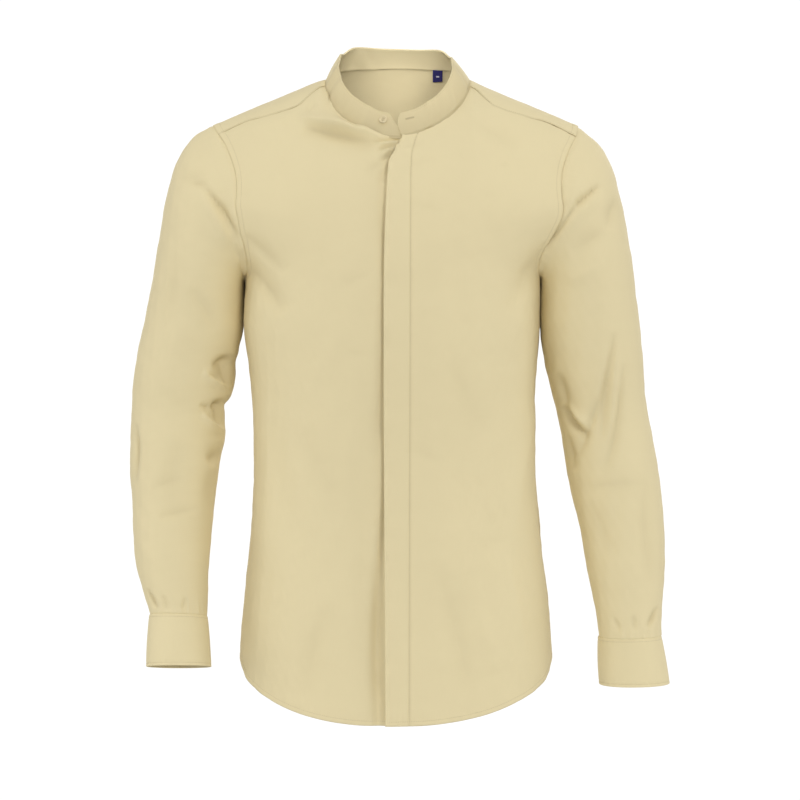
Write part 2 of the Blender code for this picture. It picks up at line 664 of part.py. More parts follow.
def build_back(material):
    """Back panel from side seam to side seam, up to the yoke."""
    points = YOKE_SEAM_POINTS + NAPE_POINTS - 1
    seam_left = resample(yoke_back(1), points, PLACE_SCALE)
    seam_right = resample(yoke_back(-1), points, PLACE_SCALE)
    top = np.concatenate([seam_left[::-1], seam_right[1:]])
    top[:, 1] -= SEAM_RISE
    left = armhole_between(1, "back", 0.0, YOKE_BACK_END_RISE, HIGH_ROWS)
    right = armhole_between(-1, "back", 0.0, YOKE_BACK_END_RISE, HIGH_ROWS)
    left[0, 0], right[0, 0] = SIDE_GAP_ANGLE, np.pi - SIDE_GAP_ANGLE
    left[-1], right[-1] = top[0], top[-1]
    bottom = chest_line(left[0, 0], right[0, 0], len(top))
    high = coons(bottom, top, left, right)
    low = drop_rows(bottom, HEM_BACK, LOW_ROWS)
    places = np.concatenate([low[:-1], high])
    cloth("back", body(places[..., 0], places[..., 1]), material)


def yoke_point(places, out=0.0):
    """Body points for places whose rise runs on past the ridge, from front to back."""
    over = places[..., 1] > RIDGE_RISE
    rise = np.where(over, 2.0 * RIDGE_RISE - places[..., 1], places[..., 1])
    angle = np.where(over, np.abs(places[..., 0]), -np.abs(places[..., 0]))
    return body(angle, rise, out)


def over_ridge(line):
    """A back line written with its rise running on past the ridge."""
    return np.stack([np.abs(line[:, 0]), 2.0 * RIDGE_RISE - line[:, 1]], -1)


def yoke_half_lines(side):
    """The yoke's lines on one side: towards the neck, the back seam and the armhole end."""
    seam = beside(yoke_seam_places(side), side * SEAM_RISE)[::-1]
    seam[:, 0] = np.abs(seam[:, 0])
    inner = np.concatenate([seam, nape_places(side)[1:]])
    outer = resample(over_ridge(yoke_back(side))[::-1], len(inner), PLACE_SCALE)
    front_end = armhole_between(side, "front", YOKE_END_RISE, RIDGE_RISE, FINE_POINTS)
    back_end = armhole_between(side, "back", YOKE_BACK_END_RISE, RIDGE_RISE, FINE_POINTS)
    end = np.concatenate([np.stack([np.abs(front_end[:, 0]), front_end[:, 1]], -1),
                          over_ridge(back_end)[::-1][1:]])
    end = resample(end, YOKE_ROWS, PLACE_SCALE)
    end[0], end[-1] = inner[0], outer[0]
    return inner, outer, end


def build_yoke(material):
    """Yoke over both shoulders, its neck side cut to the neck seam."""
    halves = []
    for side in (1, -1):
        inner, outer, end = yoke_half_lines(side)
        middle = np.linspace(inner[-1], outer[-1], YOKE_ROWS)
        halves.append(coons(inner, outer, end, middle))
    left, right = halves
    places = np.concatenate([left, right[:, ::-1][:, 1:]], axis=1)
    cloth("yoke", yoke_point(places), material, flip=True)


# ---------------------------------------------------------------------------- collar

def neck_loop():
    """Neck seam as points, from the wearer's right end round the back to the left end."""
    halves = [np.concatenate([front_cloth(neck_places(side), side)[:-1],
                              yoke_point(nape_places(side))]) for side in (-1, 1)]
    return np.concatenate([halves[0], halves[1][::-1][1:]])


def build_collar(material):
    """Collar band standing on the neck seam, open at the front."""
    base = neck_loop()
    cols = len(base)
    along = np.concatenate([[0.0], np.cumsum(np.linalg.norm(np.diff(base, axis=0), axis=1))])
    share = along / along[-1]
    rise = smooth(column(COLLAR_BAND, "share"), column(COLLAR_BAND, "rise"), share)
    lean = smooth(column(COLLAR_BAND, "share"), column(COLLAR_BAND, "lean"), share)
    middle = np.array([NECK_CENTRE, COLLAR_MIDDLE])
    inward = middle - base[:, :2]
    inward /= np.linalg.norm(inward, axis=1, keepdims=True)
    up = np.column_stack([inward * lean[:, None], rise])
    past = np.clip(1.0 - along / COLLAR_CORNER, 0.0, 1.0)
    corner = (COLLAR_CORNER / rise) * (1.0 - np.sqrt(1.0 - past**2))
    foot = COLLAR_FOOT / np.linalg.norm(up, axis=1)
    steps = np.linspace(0.0, 1.0, COLLAR_ROWS)[:, None]
    share_up = foot + (1.0 - COLLAR_CORNER_DROP * corner - foot) * steps
    bow = COLLAR_BOW * np.sin(np.pi * share_up)
    outward = np.column_stack([-inward, np.zeros(cols)])
    grid = base + share_up[..., None] * up + bow[..., None] * outward
    cloth("collar_band", grid, material, flip=True)
    return along, base, up, outward


# ---------------------------------------------------------------------------- sleeves

def armhole_loop(side, count):
    """Closed armhole line as points: shoulder tip, front, underarm, back."""
    front = body(*armhole(side, "front").T)[::-1]
    back = body(*armhole(side, "back").T)
    half = count // 2
    ahead = resample(front, half + 1, (1.0, 1.0, 1.0))
    behind = resample(back, half + 1, (1.0, 1.0, 1.0))
    return np.concatenate([ahead, behind[1:-1]])


def ring_points(ring, angles, out=0.0):
    """Points of one sleeve ring; angle 0 is its outer side and 90 degrees its front."""
    outer = np.array([ring.outer, ring.middle, ring.outer_z])
    inner = np.array([ring.inner, ring.middle, ring.inner_z])
    centre = (outer + inner) / 2
    across = (outer - inner) / 2
    across = across * (1.0 + out / np.linalg.norm(across))
    pitch = np.radians(ring.pitch)
    forward = (ring.depth + out) * np.array([0.0, -np.cos(pitch), np.sin(pitch)])
    cosine = power(np.cos(angles), 2.0 / RING_ROUNDNESS)
    sine = power(np.sin(angles), 2.0 / RING_ROUNDNESS)
    return centre + cosine[:, None] * across + sine[:, None] * forward


def sleeve_grid(side, rings, count):
    """Sleeve points: the armhole line, then rings that take over from its shape."""
    angles = np.linspace(0.0, 2.0 * np.pi, count, endpoint=False)
    loop = armhole_loop(side, count)
    loop[:, 0] += side * ARMHOLE_STANDOFF
    tip, under = loop[0], loop[count // 2]
    depth = (loop[:, 1].max() - loop[:, 1].min()) / 2
    middle = (loop[:, 1].max() + loop[:, 1].min()) / 2
    first = Ring(tip[0], tip[2], under[0], under[2], middle, depth, 0.0)
    extra = loop - ring_points(first, angles)
    grid = [loop]
    for index, ring in enumerate(rings, start=1):
        left = 1.0 - min(index / ARMHOLE_FADE_RINGS, 1.0)
        grid.append(ring_points(ring, angles) + extra * left**2)
    return np.array(grid)


def build_sleeve(side, name, rings, cuff_rings, material):
    """Sleeve, its hidden placket strip and the cuff with its lapped ends and button."""
    count = SLEEVE_POINTS
    top = cuff_rings[0]
    last = top._replace(outer_z=top.outer_z + CUFF_GAP, inner_z=top.inner_z + CUFF_GAP)
    rings = rings + (last,)
    grid = sleeve_grid(side, rings, count)
    cloth("sleeve_" + name, grid, material, closed=True, flip=side < 0)

    angles = np.linspace(0.0, 2.0 * np.pi, count, endpoint=False)[PLACKET_COLUMNS]
    strip = [ring_points(ring, angles, CLEAR + STRIP_WALL) for ring in rings[-PLACKET_RINGS:]]
    cloth("sleeve_placket_" + name, np.array(strip), material, wall=STRIP_WALL, flip=side < 0)

    turn = np.linspace(0.0, 2.0 * np.pi + CUFF_LAP, CUFF_POINTS)
    lift = CUFF_LAP_LIFT * ease((turn - 2.0 * np.pi + CUFF_LAP) / CUFF_LAP)
    rows = []
    for ring in cuff_rings:
        bare = ring_points(ring, CUFF_LAP_ANGLE + turn)
        wide = ring_points(ring, CUFF_LAP_ANGLE + turn, CUFF_LAP_LIFT)
        share = (lift / CUFF_LAP_LIFT)[:, None]
        rows.append(bare * (1.0 - share) + wide * share)
    rows = np.array(rows)
    cloth("cuff_" + name, rows, material, flip=side < 0)
    spot = len(turn) - 2
    centre = rows[1:3, spot].mean(axis=0)
    outward = centre - rows[1:3].mean(axis=(0, 1))
    facing = outward / np.linalg.norm(outward)
    return centre + facing * 2.0 * CLEAR, facing


# ---------------------------------------------------------------------------- trims

def build_button(name, place, facing, height, material):
    """Round button whose back face lies at place, looking along facing."""
    bpy.ops.mesh.primitive_cylinder_add(vertices=BUTTON_SIDES, radius=BUTTON_RADIUS, depth=height)
    item = bpy.context.object
    item.name = name
    item.data.name = name
    item.data.materials.append(material)
    for holder in item.users_collection:
        holder.objects.unlink(item)
    bpy.data.collections[COLLECTION].objects.link(item)
    edge = item.modifiers.new("edge", "BEVEL")
    edge.width = height * 0.25
    edge.segments = 1
    edge.limit_method = "ANGLE"
    facing = Vector(facing).normalized()
    item.rotation_mode = "QUATERNION"
    item.rotation_quaternion = Vector((0.0, 0.0, 1.0)).rotation_difference(facing)
    item.location = Vector(place) + facing * (height / 2)


def build_fly_buttons(material):
    """Buttons hidden between the buttonhole band and the upper front."""
    heights = np.linspace(FLY_BUTTON_TOP, FLY_BUTTON_BOTTOM, FLY_BUTTONS)
    for number, height in enumerate(heights, start=1):
        angle, rise = find(FLY_BUTTON_ACROSS, height)
        place = body(angle, rise, FLY_BAND_OUT + CLEAR)
        facing = body(angle, rise, 0.001) - body(angle, rise)
        build_button(f"fly_button_{number}", place, facing, HIDDEN_BUTTON_HEIGHT, material)


def build_collar_button(band, material):
    """Button on the wearer's right end of the collar band."""
    along, base, up, outward = band
    def at(rows):
        return np.array([np.interp(COLLAR_BUTTON_ALONG, along, rows[:, i]) for i in range(3)])
    step = np.array([at(base), at(up), at(outward)])
    tangent = base[2] - base[1]
    facing = np.cross(step[1], tangent)
    facing /= np.linalg.norm(facing)
    if facing @ step[2] < 0.0:
        facing = -facing
    place = step[0] + COLLAR_BUTTON_UP * step[1] + facing * (COLLAR_BOW + 2.0 * CLEAR)
    build_button("collar_button", place, facing, BUTTON_HEIGHT, material)


def build_label(material):
    """Folded label hanging from the neck seam inside the yoke."""
    rim = neck_back(1)
    points = yoke_point(rim)[:, 0]
    across = LABEL_ACROSS + LABEL_WIDTH * np.linspace(0.5, -0.5, LABEL_COLUMNS)
    key = np.interp(-across, -points, np.arange(len(rim)))
    start = np.stack([np.interp(key, np.arange(len(rim)), rim[:, i]) for i in range(2)], -1)
    drop = LABEL_TOP + LABEL_DROP * np.linspace(0.0, 1.0, LABEL_ROWS)
    places = start[None] + drop[:, None, None] * np.array([0.0, 1.0])
    grid = yoke_point(places, -(WALL + LABEL_CLEAR))
    cloth("size_label", grid, material, wall=LABEL_WALL, flip=True)


def main():
    """Build the whole shirt."""
    for item in list(bpy.data.objects):
        bpy.data.objects.remove(item, do_unlink=True)
    group = bpy.data.collections.new(COLLECTION)
    bpy.context.scene.collection.children.link(group)

    cloth_paint = paint("cloth", CLOTH, 0.85)
    button_paint = paint("button", BUTTON, 0.45)
    label_paint = paint("label", NAVY, 0.80)

    build_fronts(cloth_paint)
    build_back(cloth_paint)
    build_yoke(cloth_paint)
    band = build_collar(cloth_paint)
    build_collar_button(band, button_paint)
    build_fly_buttons(button_paint)
    for side, name, rings, cuff in ((1, "left", SLEEVE_LEFT, CUFF_LEFT),
                                    (-1, "right", SLEEVE_RIGHT, CUFF_RIGHT)):
        place, facing = build_sleeve(side, name, rings, cuff, cloth_paint)
        build_button("cuff_button_" + name, place, facing, BUTTON_HEIGHT, button_paint)
    build_label(label_paint)


main()
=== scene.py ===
"""Mandarin collar shirt, buttoned and filled out as on its wearer, hollow inside.

Every cloth piece is a thin shell on a grid of points. The body panels share one filled-out form,
whose places have two coordinates: the angle round the wearer and the rise along the cloth from
the chest line. Sleeves and cuffs are fans of rings. Creases are soft troughs and ridges laid
along short lines, and each seam adds its own step, groove and puckers.

Frame: metres, origin in the middle of the neck opening, +X the wearer's left, -Y the front.
"""

from __future__ import annotations

import logging
from collections.abc import Callable
from dataclasses import dataclass, field
from enum import Enum
from functools import cache, cached_property
from typing import NamedTuple

import bpy
import numpy as np
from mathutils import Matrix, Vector


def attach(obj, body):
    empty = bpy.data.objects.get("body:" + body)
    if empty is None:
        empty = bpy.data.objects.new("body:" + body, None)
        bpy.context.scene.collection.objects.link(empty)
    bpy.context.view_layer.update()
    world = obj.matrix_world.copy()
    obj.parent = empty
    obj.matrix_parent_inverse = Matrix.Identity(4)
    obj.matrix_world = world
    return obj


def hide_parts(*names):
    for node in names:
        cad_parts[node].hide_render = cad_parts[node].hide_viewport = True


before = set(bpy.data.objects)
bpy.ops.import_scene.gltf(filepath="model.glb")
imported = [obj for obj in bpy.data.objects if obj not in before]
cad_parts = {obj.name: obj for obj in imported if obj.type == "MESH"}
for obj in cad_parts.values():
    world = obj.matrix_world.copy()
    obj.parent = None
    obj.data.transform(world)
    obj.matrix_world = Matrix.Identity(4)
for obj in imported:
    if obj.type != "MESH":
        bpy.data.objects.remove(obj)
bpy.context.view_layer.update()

LOG = logging.getLogger("shirt")
MM = 0.001
Array = np.ndarray
TINY = 1e-12
PLACE_SCALE = (0.18, 1.0)   # metres for each radian, and for each metre of rise


# ------------------------------------------------------------------------------ curve tools

def smooth(known: Array, values: Array, at: Array) -> Array:
    """Smooth curve through a table, cubic between its rows and level beyond its ends.

    Args:
        known: rising positions of the table's rows.
        values: the value in each row.
        at: positions asked for.

    Returns:
        The value at each position.
    """
    at = np.clip(at, known[0], known[-1])
    slopes = np.gradient(values, known)
    left = np.clip(np.searchsorted(known, at) - 1, 0, len(known) - 2)
    span = known[left + 1] - known[left]
    t = (at - known[left]) / span
    return ((2 * t**3 - 3 * t**2 + 1) * values[left]
            + (t**3 - 2 * t**2 + t) * span * slopes[left]
            + (3 * t**2 - 2 * t**3) * values[left + 1]
            + (t**3 - t**2) * span * slopes[left + 1])


def ease(t: Array) -> Array:
    """0 to 1 with level ends: 3t squared less 2t cubed."""
    t = np.clip(t, 0.0, 1.0)
    return t * t * (3.0 - 2.0 * t)


def power(value: Array, exponent: Array) -> Array:
    """Signed power, for the rounded sections."""
    return np.sign(value) * np.abs(value) ** exponent


def bell(value: Array, width: float) -> Array:
    """Bell curve of a distance: 1 at nought, 0.37 at the width."""
    return np.exp(-(value / width) ** 2)


def unit(ways: Array) -> Array:
    """Vectors of length 1 along the last axis."""
    return ways / (np.linalg.norm(ways, axis=-1, keepdims=True) + TINY)


def steps(count: int, start: bool = True, end: bool = True) -> Array:
    """Numbers from 0 to 1 that lie closer together next to the marked ends.

    Args:
        count: how many numbers.
        start: whether they crowd towards 0.
        end: whether they crowd towards 1.

    Returns:
        Rising numbers, the first 0 and the last 1.
    """
    crowd, reach = 0.62, 0.035
    s = np.linspace(0.0, 1.0, count - 1)
    pace = 1.0 - crowd * (start * np.exp(-s / reach) + end * np.exp(-(1.0 - s) / reach))
    total = np.concatenate([[0.0], np.cumsum(pace)])
    return total / total[-1]


def lengths(line: Array) -> Array:
    """Distance along a polyline at each of its points."""
    return np.concatenate([[0.0], np.cumsum(np.linalg.norm(np.diff(line, axis=0), axis=1))])


def between(at: Array, known: Array, rows: Array) -> Array:
    """Rows of a table at positions, straight between its known ones."""
    return np.stack([np.interp(at, known, column) for column in rows.T], -1)


def follow(line: Array, at: Array, scale: tuple[float, ...] = PLACE_SCALE) -> Array:
    """Points of a polyline at shares of its length.

    Args:
        line: points, one a row.
        at: shares of the length, 0 to 1.
        scale: factor for each column while the length is measured.

    Returns:
        One point for each share.
    """
    along = lengths(line * np.asarray(scale))
    return between(at * along[-1], along, line)


def beside_line(points: Array, line: Array) -> tuple[Array, Array]:
    """Distance from points to a polyline, and how far along it the nearest place is.

    The nearest of the line's own points is found first, then the foot of the perpendicular on
    the two stretches that meet there.

    Args:
        points: any shape with 3 last.
        line: the polyline's points.

    Returns:
        Distance and distance along the line, in the shape of the points.
    """
    flat = points.reshape(-1, 3)
    square = (flat**2).sum(1)[:, None] + (line**2).sum(1)[None] - 2.0 * flat @ line.T
    nearest = square.argmin(1)
    along = lengths(line)
    best = np.full(len(flat), np.inf)
    where = np.zeros(len(flat))
    for shift in (-1, 0):
        first = np.clip(nearest + shift, 0, len(line) - 2)
        a, b = line[first], line[first + 1]
        way = b - a
        size = (way**2).sum(1) + TINY
        t = np.clip(((flat - a) * way).sum(1) / size, 0.0, 1.0)
        away = np.linalg.norm(flat - a - t[:, None] * way, axis=1)
        closer = away < best
        best = np.where(closer, away, best)
        where = np.where(closer, along[first] + t * np.sqrt(size), where)
    return best.reshape(points.shape[:-1]), where.reshape(points.shape[:-1])


def grid_normals(points: Array, closed: bool = False) -> Array:
    """Unit normals of a grid of points, from the cross product of its two directions.

    Args:
        points: rows by columns by 3.
        closed: whether the last column joins the first.

    Returns:
        Normals that face the side from which columns run right while rows run up.
    """
    if closed:
        wide = np.concatenate([points[:, -1:], points, points[:, :1]], axis=1)
        across = wide[:, 2:] - wide[:, :-2]
    else:
        across = np.gradient(points, axis=1)
    return unit(np.cross(across, np.gradient(points, axis=0)))


def ripple(along: Array, seed: float, pitch: float) -> Array:
    """Uneven wave along a seam, about -1 to 1: three sines of unrelated lengths."""
    turn = 2.0 * np.pi * along / pitch
    return (0.5 * np.sin(turn + seed) + 0.3 * np.sin(1.63 * turn + 2.1 * seed)
            + 0.3 * np.sin(0.41 * turn + 5.3 * seed)) * (0.6 + 0.4 * np.sin(0.13 * turn + seed))


def cell(points: Array, row: Array, col: Array) -> Array:
    """Grid values at fractional rows and columns, straight between the four neighbours."""
    r = np.clip(row, 0.0, points.shape[0] - 1.001)
    c = np.clip(col, 0.0, points.shape[1] - 1.001)
    i, j = r.astype(int), c.astype(int)
    fr, fc = (r - i)[..., None], (c - j)[..., None]
    return ((1 - fr) * (1 - fc) * points[i, j] + (1 - fr) * fc * points[i, j + 1]
            + fr * (1 - fc) * points[i + 1, j] + fr * fc * points[i + 1, j + 1])


# -------------------------------------------------------------------------------- worn form

def table(*rows: tuple[float, ...], plain: int = 0) -> Array:
    """Table in metres from rows in millimetres, its last columns left as they are."""
    made = np.array(rows, dtype=float)
    made[:, :made.shape[1] - plain] *= MM
    return made


CHEST = -0.238
ROUND_OVER = 0.232          # metres of rise for each radian of lean over the shoulder
RIDGE_RISE = ROUND_OVER * np.pi / 2
RADIUS = 0.1765             # metres for each radian round the body
LINE_POINTS = 240           # points of a seam line

TORSO = table(          # height, centre, half width, front depth, back depth, roundness
    (-800, 0.8, 192, 124, 124, 2.35), (-690, 0.6, 186.8, 122, 120, 2.4),
    (-640, 0, 183.2, 121, 116, 2.4), (-560, -0.6, 175, 119, 108, 2.4),
    (-500, -1.2, 170.3, 118, 102, 2.4), (-440, -2.4, 168, 119, 99, 2.4),
    (-380, -3, 168.8, 123, 102, 2.4), (-340, -3.6, 172.5, 126, 107, 2.4),
    (-300, -5, 176.5, 129, 113, 2.4), (CHEST / MM, -4, 176.5, 130, 120, 2.4), plain=1)
ARMHOLE = np.array([        # rise, then degrees from the side line: front left, right, back
    [0.000, 0.0, 0.0, 0.0],
    [0.006, 10.0, 10.0, 10.0],
    [0.020, 18.0, 19.0, 18.0],
    [0.040, 24.0, 27.0, 24.0],
    [0.062, 28.5, 33.0, 27.5],
    [0.085, 31.5, 37.0, 29.0],
    [0.110, 33.5, 38.0, 29.5],
    [0.140, 34.0, 38.0, 29.0],
    [0.175, 32.0, 35.5, 28.0],
    [0.205, 29.0, 32.5, 26.5],
    [0.235, 25.0, 29.0, 24.5],
    [0.285, 20.0, 22.5, 21.0],
    [RIDGE_RISE, 17.6, 17.6, 17.6],
])
YOKE_FRONT = table(     # distance from the middle, height
    (108, -27.5), (123, -37.5), (157, -47.5), (180, -52.5))
HEM_CURVE = np.array([      # share of the half width, share of the rise
    [0.00, 0.000], [0.25, 0.025], [0.45, 0.100], [0.62, 0.215], [0.76, 0.365],
    [0.88, 0.550], [0.96, 0.760], [1.00, 1.000]])
LARGE_FOLDS = np.array([    # angle and height of both ends, width, depth
    [-160.0, -0.215, -125.0, -0.285, 0.020, 0.0030],
    [-20.0, -0.225, -48.0, -0.290, 0.020, 0.0026],
    [-100.0, -0.430, -97.0, -0.740, 0.016, 0.0030],
    [-38.0, -0.420, -62.0, -0.660, 0.026, 0.0028],
    [-150.0, -0.400, -128.0, -0.560, 0.026, 0.0024],
    [150.0, -0.300, 120.0, -0.420, 0.028, 0.0030],
    [32.0, -0.310, 62.0, -0.430, 0.028, 0.0030],
    [75.0, -0.420, 68.0, -0.660, 0.030, 0.0034],
    [108.0, -0.430, 114.0, -0.680, 0.030, 0.0030],
])
FLY_EDGE = table(       # height, where the upper front's folded edge runs
    (-770, -12.2), (-560, -13.4), (-330, -14.2), (-209, -13.6), (-150, -11.6), (-120, -10),
    (-104, -8), (-92, -3), (-82, 2.8), (-74, 6.6), (-60, 6))
FLY_STITCH_LINE = table(    # height, where the stitch line that holds it runs
    (-765, 15.2), (-500, 15.8), (-267, 16.6), (-152, 17.1), (-111, 17.7), (-94, 19), (-80, 22.3),
    (-60, 29))


@dataclass(frozen=True)
class WornForm:
    """The filled-out shape that the body cloth follows, and its seam lines."""

    shoulder_widening: float = 0.052
    widening_rise: float = 0.105
    shoulder_centre: float = -0.0006
    ridge_centre: float = -0.0018
    ridge_reach: float = 0.0900
    ridge_slope: float = 0.418
    throat_height: float = -0.031
    throat_curve: float = 3.9
    nape_rise: float = 0.056
    ridge_softness: float = 0.006
    ridge_blend: tuple[float, float] = (np.radians(72.0), np.radians(108.0))
    neck_centre: float = 0.0024
    neck_half: float = 0.0864
    neck_side: float = -0.001
    neck_drop: float = 0.0715
    neck_back: float = 0.055
    neck_round: tuple[float, float, float] = (1.75, 2.05, 2.2)
    yoke_back: float = -0.080
    yoke_corner: float = -0.009
    yoke_end: float = 0.268
    yoke_back_end: float = 0.245
    hem_side: float = -0.690
    fold_taper: float = 0.8
    find_rounds: int = 40
    normal_step: float = 0.0002
    armhole_crowding: float = 1.4
    chest_blend: float = 0.034
    chest_step: float = 0.0015
    chest_bend_limit: float = 0.4
    chest_bend_fade: float = 0.3
    nape_front: float = 0.015
    nape_depth: float = 0.030
    nape_fade: float = 0.060
    nape_end_width: float = 0.6
    nape_dip: float = 0.0024
    nape_ends: float = 0.0130

    def section(self, rise: Array) -> tuple[Array, ...]:
        """Level, centre, half width, depths and roundness of the form at a rise."""
        level = CHEST + np.minimum(rise, 0.0)
        centre, half, front, back, roundness = (
            smooth(TORSO[:, 0], TORSO[:, i], level) for i in range(1, 6))
        widening = ease(rise / self.widening_rise)
        centre = centre + (self.shoulder_centre - TORSO[-1, 1]) * widening
        return level, centre, half + self.shoulder_widening * widening, front, back, roundness

    def ridge(self, x: Array, turn: Array) -> Array:
        """Height of the shoulder ridge: a slope each side, dipping to the throat at the front."""
        shoulder = self.ridge_slope * (self.ridge_reach - np.abs(x - self.ridge_centre))
        off = x - self.neck_centre
        throat = self.throat_height + self.throat_curve * off**2
        nape = self.nape_rise * (1.0 - (off / self.ridge_reach) ** 2)
        soft = self.ridge_softness
        front = 0.5 * (shoulder + throat - np.hypot(shoulder - throat, soft))
        back = 0.5 * (shoulder + nape + np.hypot(shoulder - nape, soft))
        low, high = self.ridge_blend
        share = ease((turn - low) / (high - low))
        return front * (1.0 - share) + back * share

    def bare(self, angle: Array, rise: Array) -> Array:
        """Points of the form without folds: a rounded section, leaning in above the chest."""
        level, centre, half, front, back, roundness = self.section(rise)
        across, along = np.cos(angle), np.sin(angle)
        x = centre + half * power(across, 2.0 / roundness)
        lean = np.clip(rise, 0.0, None) / ROUND_OVER
        turn = np.where(along < 0.0, lean, np.pi - lean)
        depth = np.where(along < 0.0, front, back)
        y = depth * power(along, 2.0 / roundness) * np.cos(lean)
        z = level + (self.ridge(x, turn) - CHEST) * np.sin(lean)
        return np.stack(np.broadcast_arrays(x, y, z), -1)

    def large_folds(self, angle: Array, height: Array) -> Array:
        """How far the large folds sink in: bells across short lines, tapered to their ends."""
        total = np.zeros(np.broadcast(angle, height).shape)
        for angle_1, height_1, angle_2, height_2, width, depth in LARGE_FOLDS:
            start = np.array([np.radians(angle_1) * RADIUS, height_1])
            way = np.array([np.radians(angle_2) * RADIUS, height_2]) - start
            length = np.hypot(*way)
            east, north = angle * RADIUS - start[0], height - start[1]
            t = np.clip((east * way[0] + north * way[1]) / length**2, 0.0, 1.0)
            off = (east * way[1] - north * way[0]) / length
            total = total + depth * np.sin(np.pi * t) ** self.fold_taper * bell(off, width)
        return total

    def cloth(self, places: Array, out: Array | float = 0.0) -> Array:
        """Points of the body cloth at places, moved out along the form's normals.

        Args:
            places: angle and rise, last axis 2.
            out: how far out, added to the large folds.

        Returns:
            Points in the shape of the places.
        """
        step = self.normal_step
        angle, rise = places[..., 0], places[..., 1]
        centre = self.bare(angle, rise)
        around = self.bare(angle + step, rise) - self.bare(angle - step, rise)
        upward = self.bare(angle, rise + step) - self.bare(angle, rise - step)
        normal = unit(np.cross(around, upward))
        shift = np.asarray(out - self.large_folds(angle, centre[..., 2]))
        near = np.clip(self.chest_blend - np.abs(rise), 0.0, None)
        bend = np.interp(angle, *self.chest_bends, period=2.0 * np.pi)
        shift = shift + bend * near**2 / (4.0 * self.chest_blend)
        points = centre + normal * shift[..., None]
        points[..., 2] += self.nape_shift(points)
        return points

    @cached_property
    def chest_bends(self) -> tuple[Array, Array]:
        """Angles, and the bend of the bare back at the chest line that has to be rounded.

        The second difference across the line holds the bend and the curvature; the bend is
        what stays when the step is halved.
        """
        angle = np.linspace(-np.pi, np.pi, 361)
        lowest, low, line, high, highest = (
            self.bare(angle, np.full(len(angle), n * self.chest_step)) for n in range(-2, 3))
        normal = unit(np.cross(np.gradient(line, axis=0), high - low))
        single = ((high - 2.0 * line + low) * normal).sum(axis=1)
        double = ((highest - 2.0 * line + lowest) * normal).sum(axis=1) / 2.0
        limit = self.chest_bend_limit
        bend = np.clip((2.0 * single - double) / self.chest_step, -limit, limit)
        return angle, bend * ease(np.sin(angle) / self.chest_bend_fade)

    def nape_shift(self, points: Array) -> Array:
        """Small lift that levels the back of the neck: down in the middle, up at its ends."""
        behind = (ease((points[..., 1] - self.nape_front) / self.nape_depth)
                  * ease(points[..., 2] / self.nape_fade + 1.0))
        off = (points[..., 0] - self.neck_centre) / self.neck_half
        width = self.nape_end_width
        ends = np.clip((1.0 + width - np.abs(off)) / width, 0.0, 1.0)
        return behind * (self.nape_ends * off**2 * ends - self.nape_dip)

    def over(self, places: Array) -> Array:
        """Plain places for ones whose rise runs on past the ridge."""
        behind = places[..., 1] > RIDGE_RISE
        rise = np.where(behind, 2.0 * RIDGE_RISE - places[..., 1], places[..., 1])
        angle = np.where(behind, np.abs(places[..., 0]), -np.abs(places[..., 0]))
        return np.stack([angle, rise], -1)

    def find(self, x: Array, z: Array, back: bool = False) -> Array:
        """Place on the front, or back, that is seen at x and z."""
        x, z = np.broadcast_arrays(np.asarray(x, float), np.asarray(z, float))
        lean = np.ones(x.shape)
        for _ in range(self.find_rounds):
            top = self.ridge(x, np.pi - lean if back else lean)
            share = np.clip((z - CHEST) / (top - CHEST), 0.0, 1.0)
            lean = 0.5 * (lean + np.arcsin(share))
        rise = np.where(z < CHEST, z - CHEST, lean * ROUND_OVER)
        _, centre, half, _, _, roundness = self.section(rise)
        across = np.clip((x - centre) / half, -1.0, 1.0)
        angle = np.arccos(power(across, roundness / 2.0))
        return np.stack([angle if back else -angle, rise], -1)

    # ---- seam lines, each an array of places

    def armhole(self, side: int, part: str, low: float = 0.0,
                high: float = RIDGE_RISE) -> Array:
        """Armhole line of the front or back between two rises, side +1 left or -1 right."""
        col = {("front", 1): 1, ("front", -1): 2}.get((part, side), 3)
        crowding = self.armhole_crowding
        known = RIDGE_RISE * np.linspace(0.0, 1.0, LINE_POINTS // 2) ** crowding
        share = np.linspace(0.0, 1.0, LINE_POINTS) ** (crowding if low == 0.0 else 1.0)
        rises = low + (high - low) * share
        turn = np.interp(rises, known, np.radians(smooth(ARMHOLE[:, 0], ARMHOLE[:, col], known)))
        angle = turn if side > 0 else np.pi - turn
        return np.stack([-angle if part == "front" else angle, rises], -1)

    def neck_front(self, side: int, start: float) -> Array:
        """Neck seam from near the front centre, at x = start, up to the yoke seam."""
        roundness = self.neck_round[0 if side > 0 else 1]
        off = (start - self.neck_centre) * side / self.neck_half
        first = np.arcsin(power(off, roundness / 2.0))
        share = (self.neck_side - self.yoke_corner) / self.neck_drop
        swing = np.linspace(first, np.arccos(share ** (roundness / 2.0)), LINE_POINTS)
        x = self.neck_centre + side * self.neck_half * power(np.sin(swing), 2.0 / roundness)
        z = self.neck_side - self.neck_drop * np.cos(swing) ** (2.0 / roundness)
        return self.find(x, z)

    def neck_nape(self, side: int) -> Array:
        """Neck seam from the yoke seam's corner over the shoulder to the back centre."""
        corner = self.neck_front(side, self.neck_centre)[-1]
        swing = np.linspace(0.0, np.pi / 2, LINE_POINTS)
        bend = 2.0 / self.neck_round[2]
        x = self.neck_centre + side * self.neck_half * np.cos(swing) ** bend
        y = self.neck_back * np.sin(swing) ** bend
        _, centre, half, _, back, roundness = self.section(np.full(x.shape, RIDGE_RISE))
        across = np.clip((x - centre) / half, -1.0, 1.0)
        angle = np.arccos(power(across, roundness / 2.0))
        reach = back * np.sin(angle) ** (2.0 / roundness)
        rise = np.arccos(np.clip(y / reach, 0.0, 1.0)) * ROUND_OVER
        over = np.stack([angle, 2.0 * RIDGE_RISE - rise], -1)
        return np.concatenate([[[abs(corner[0]), corner[1]]], over])

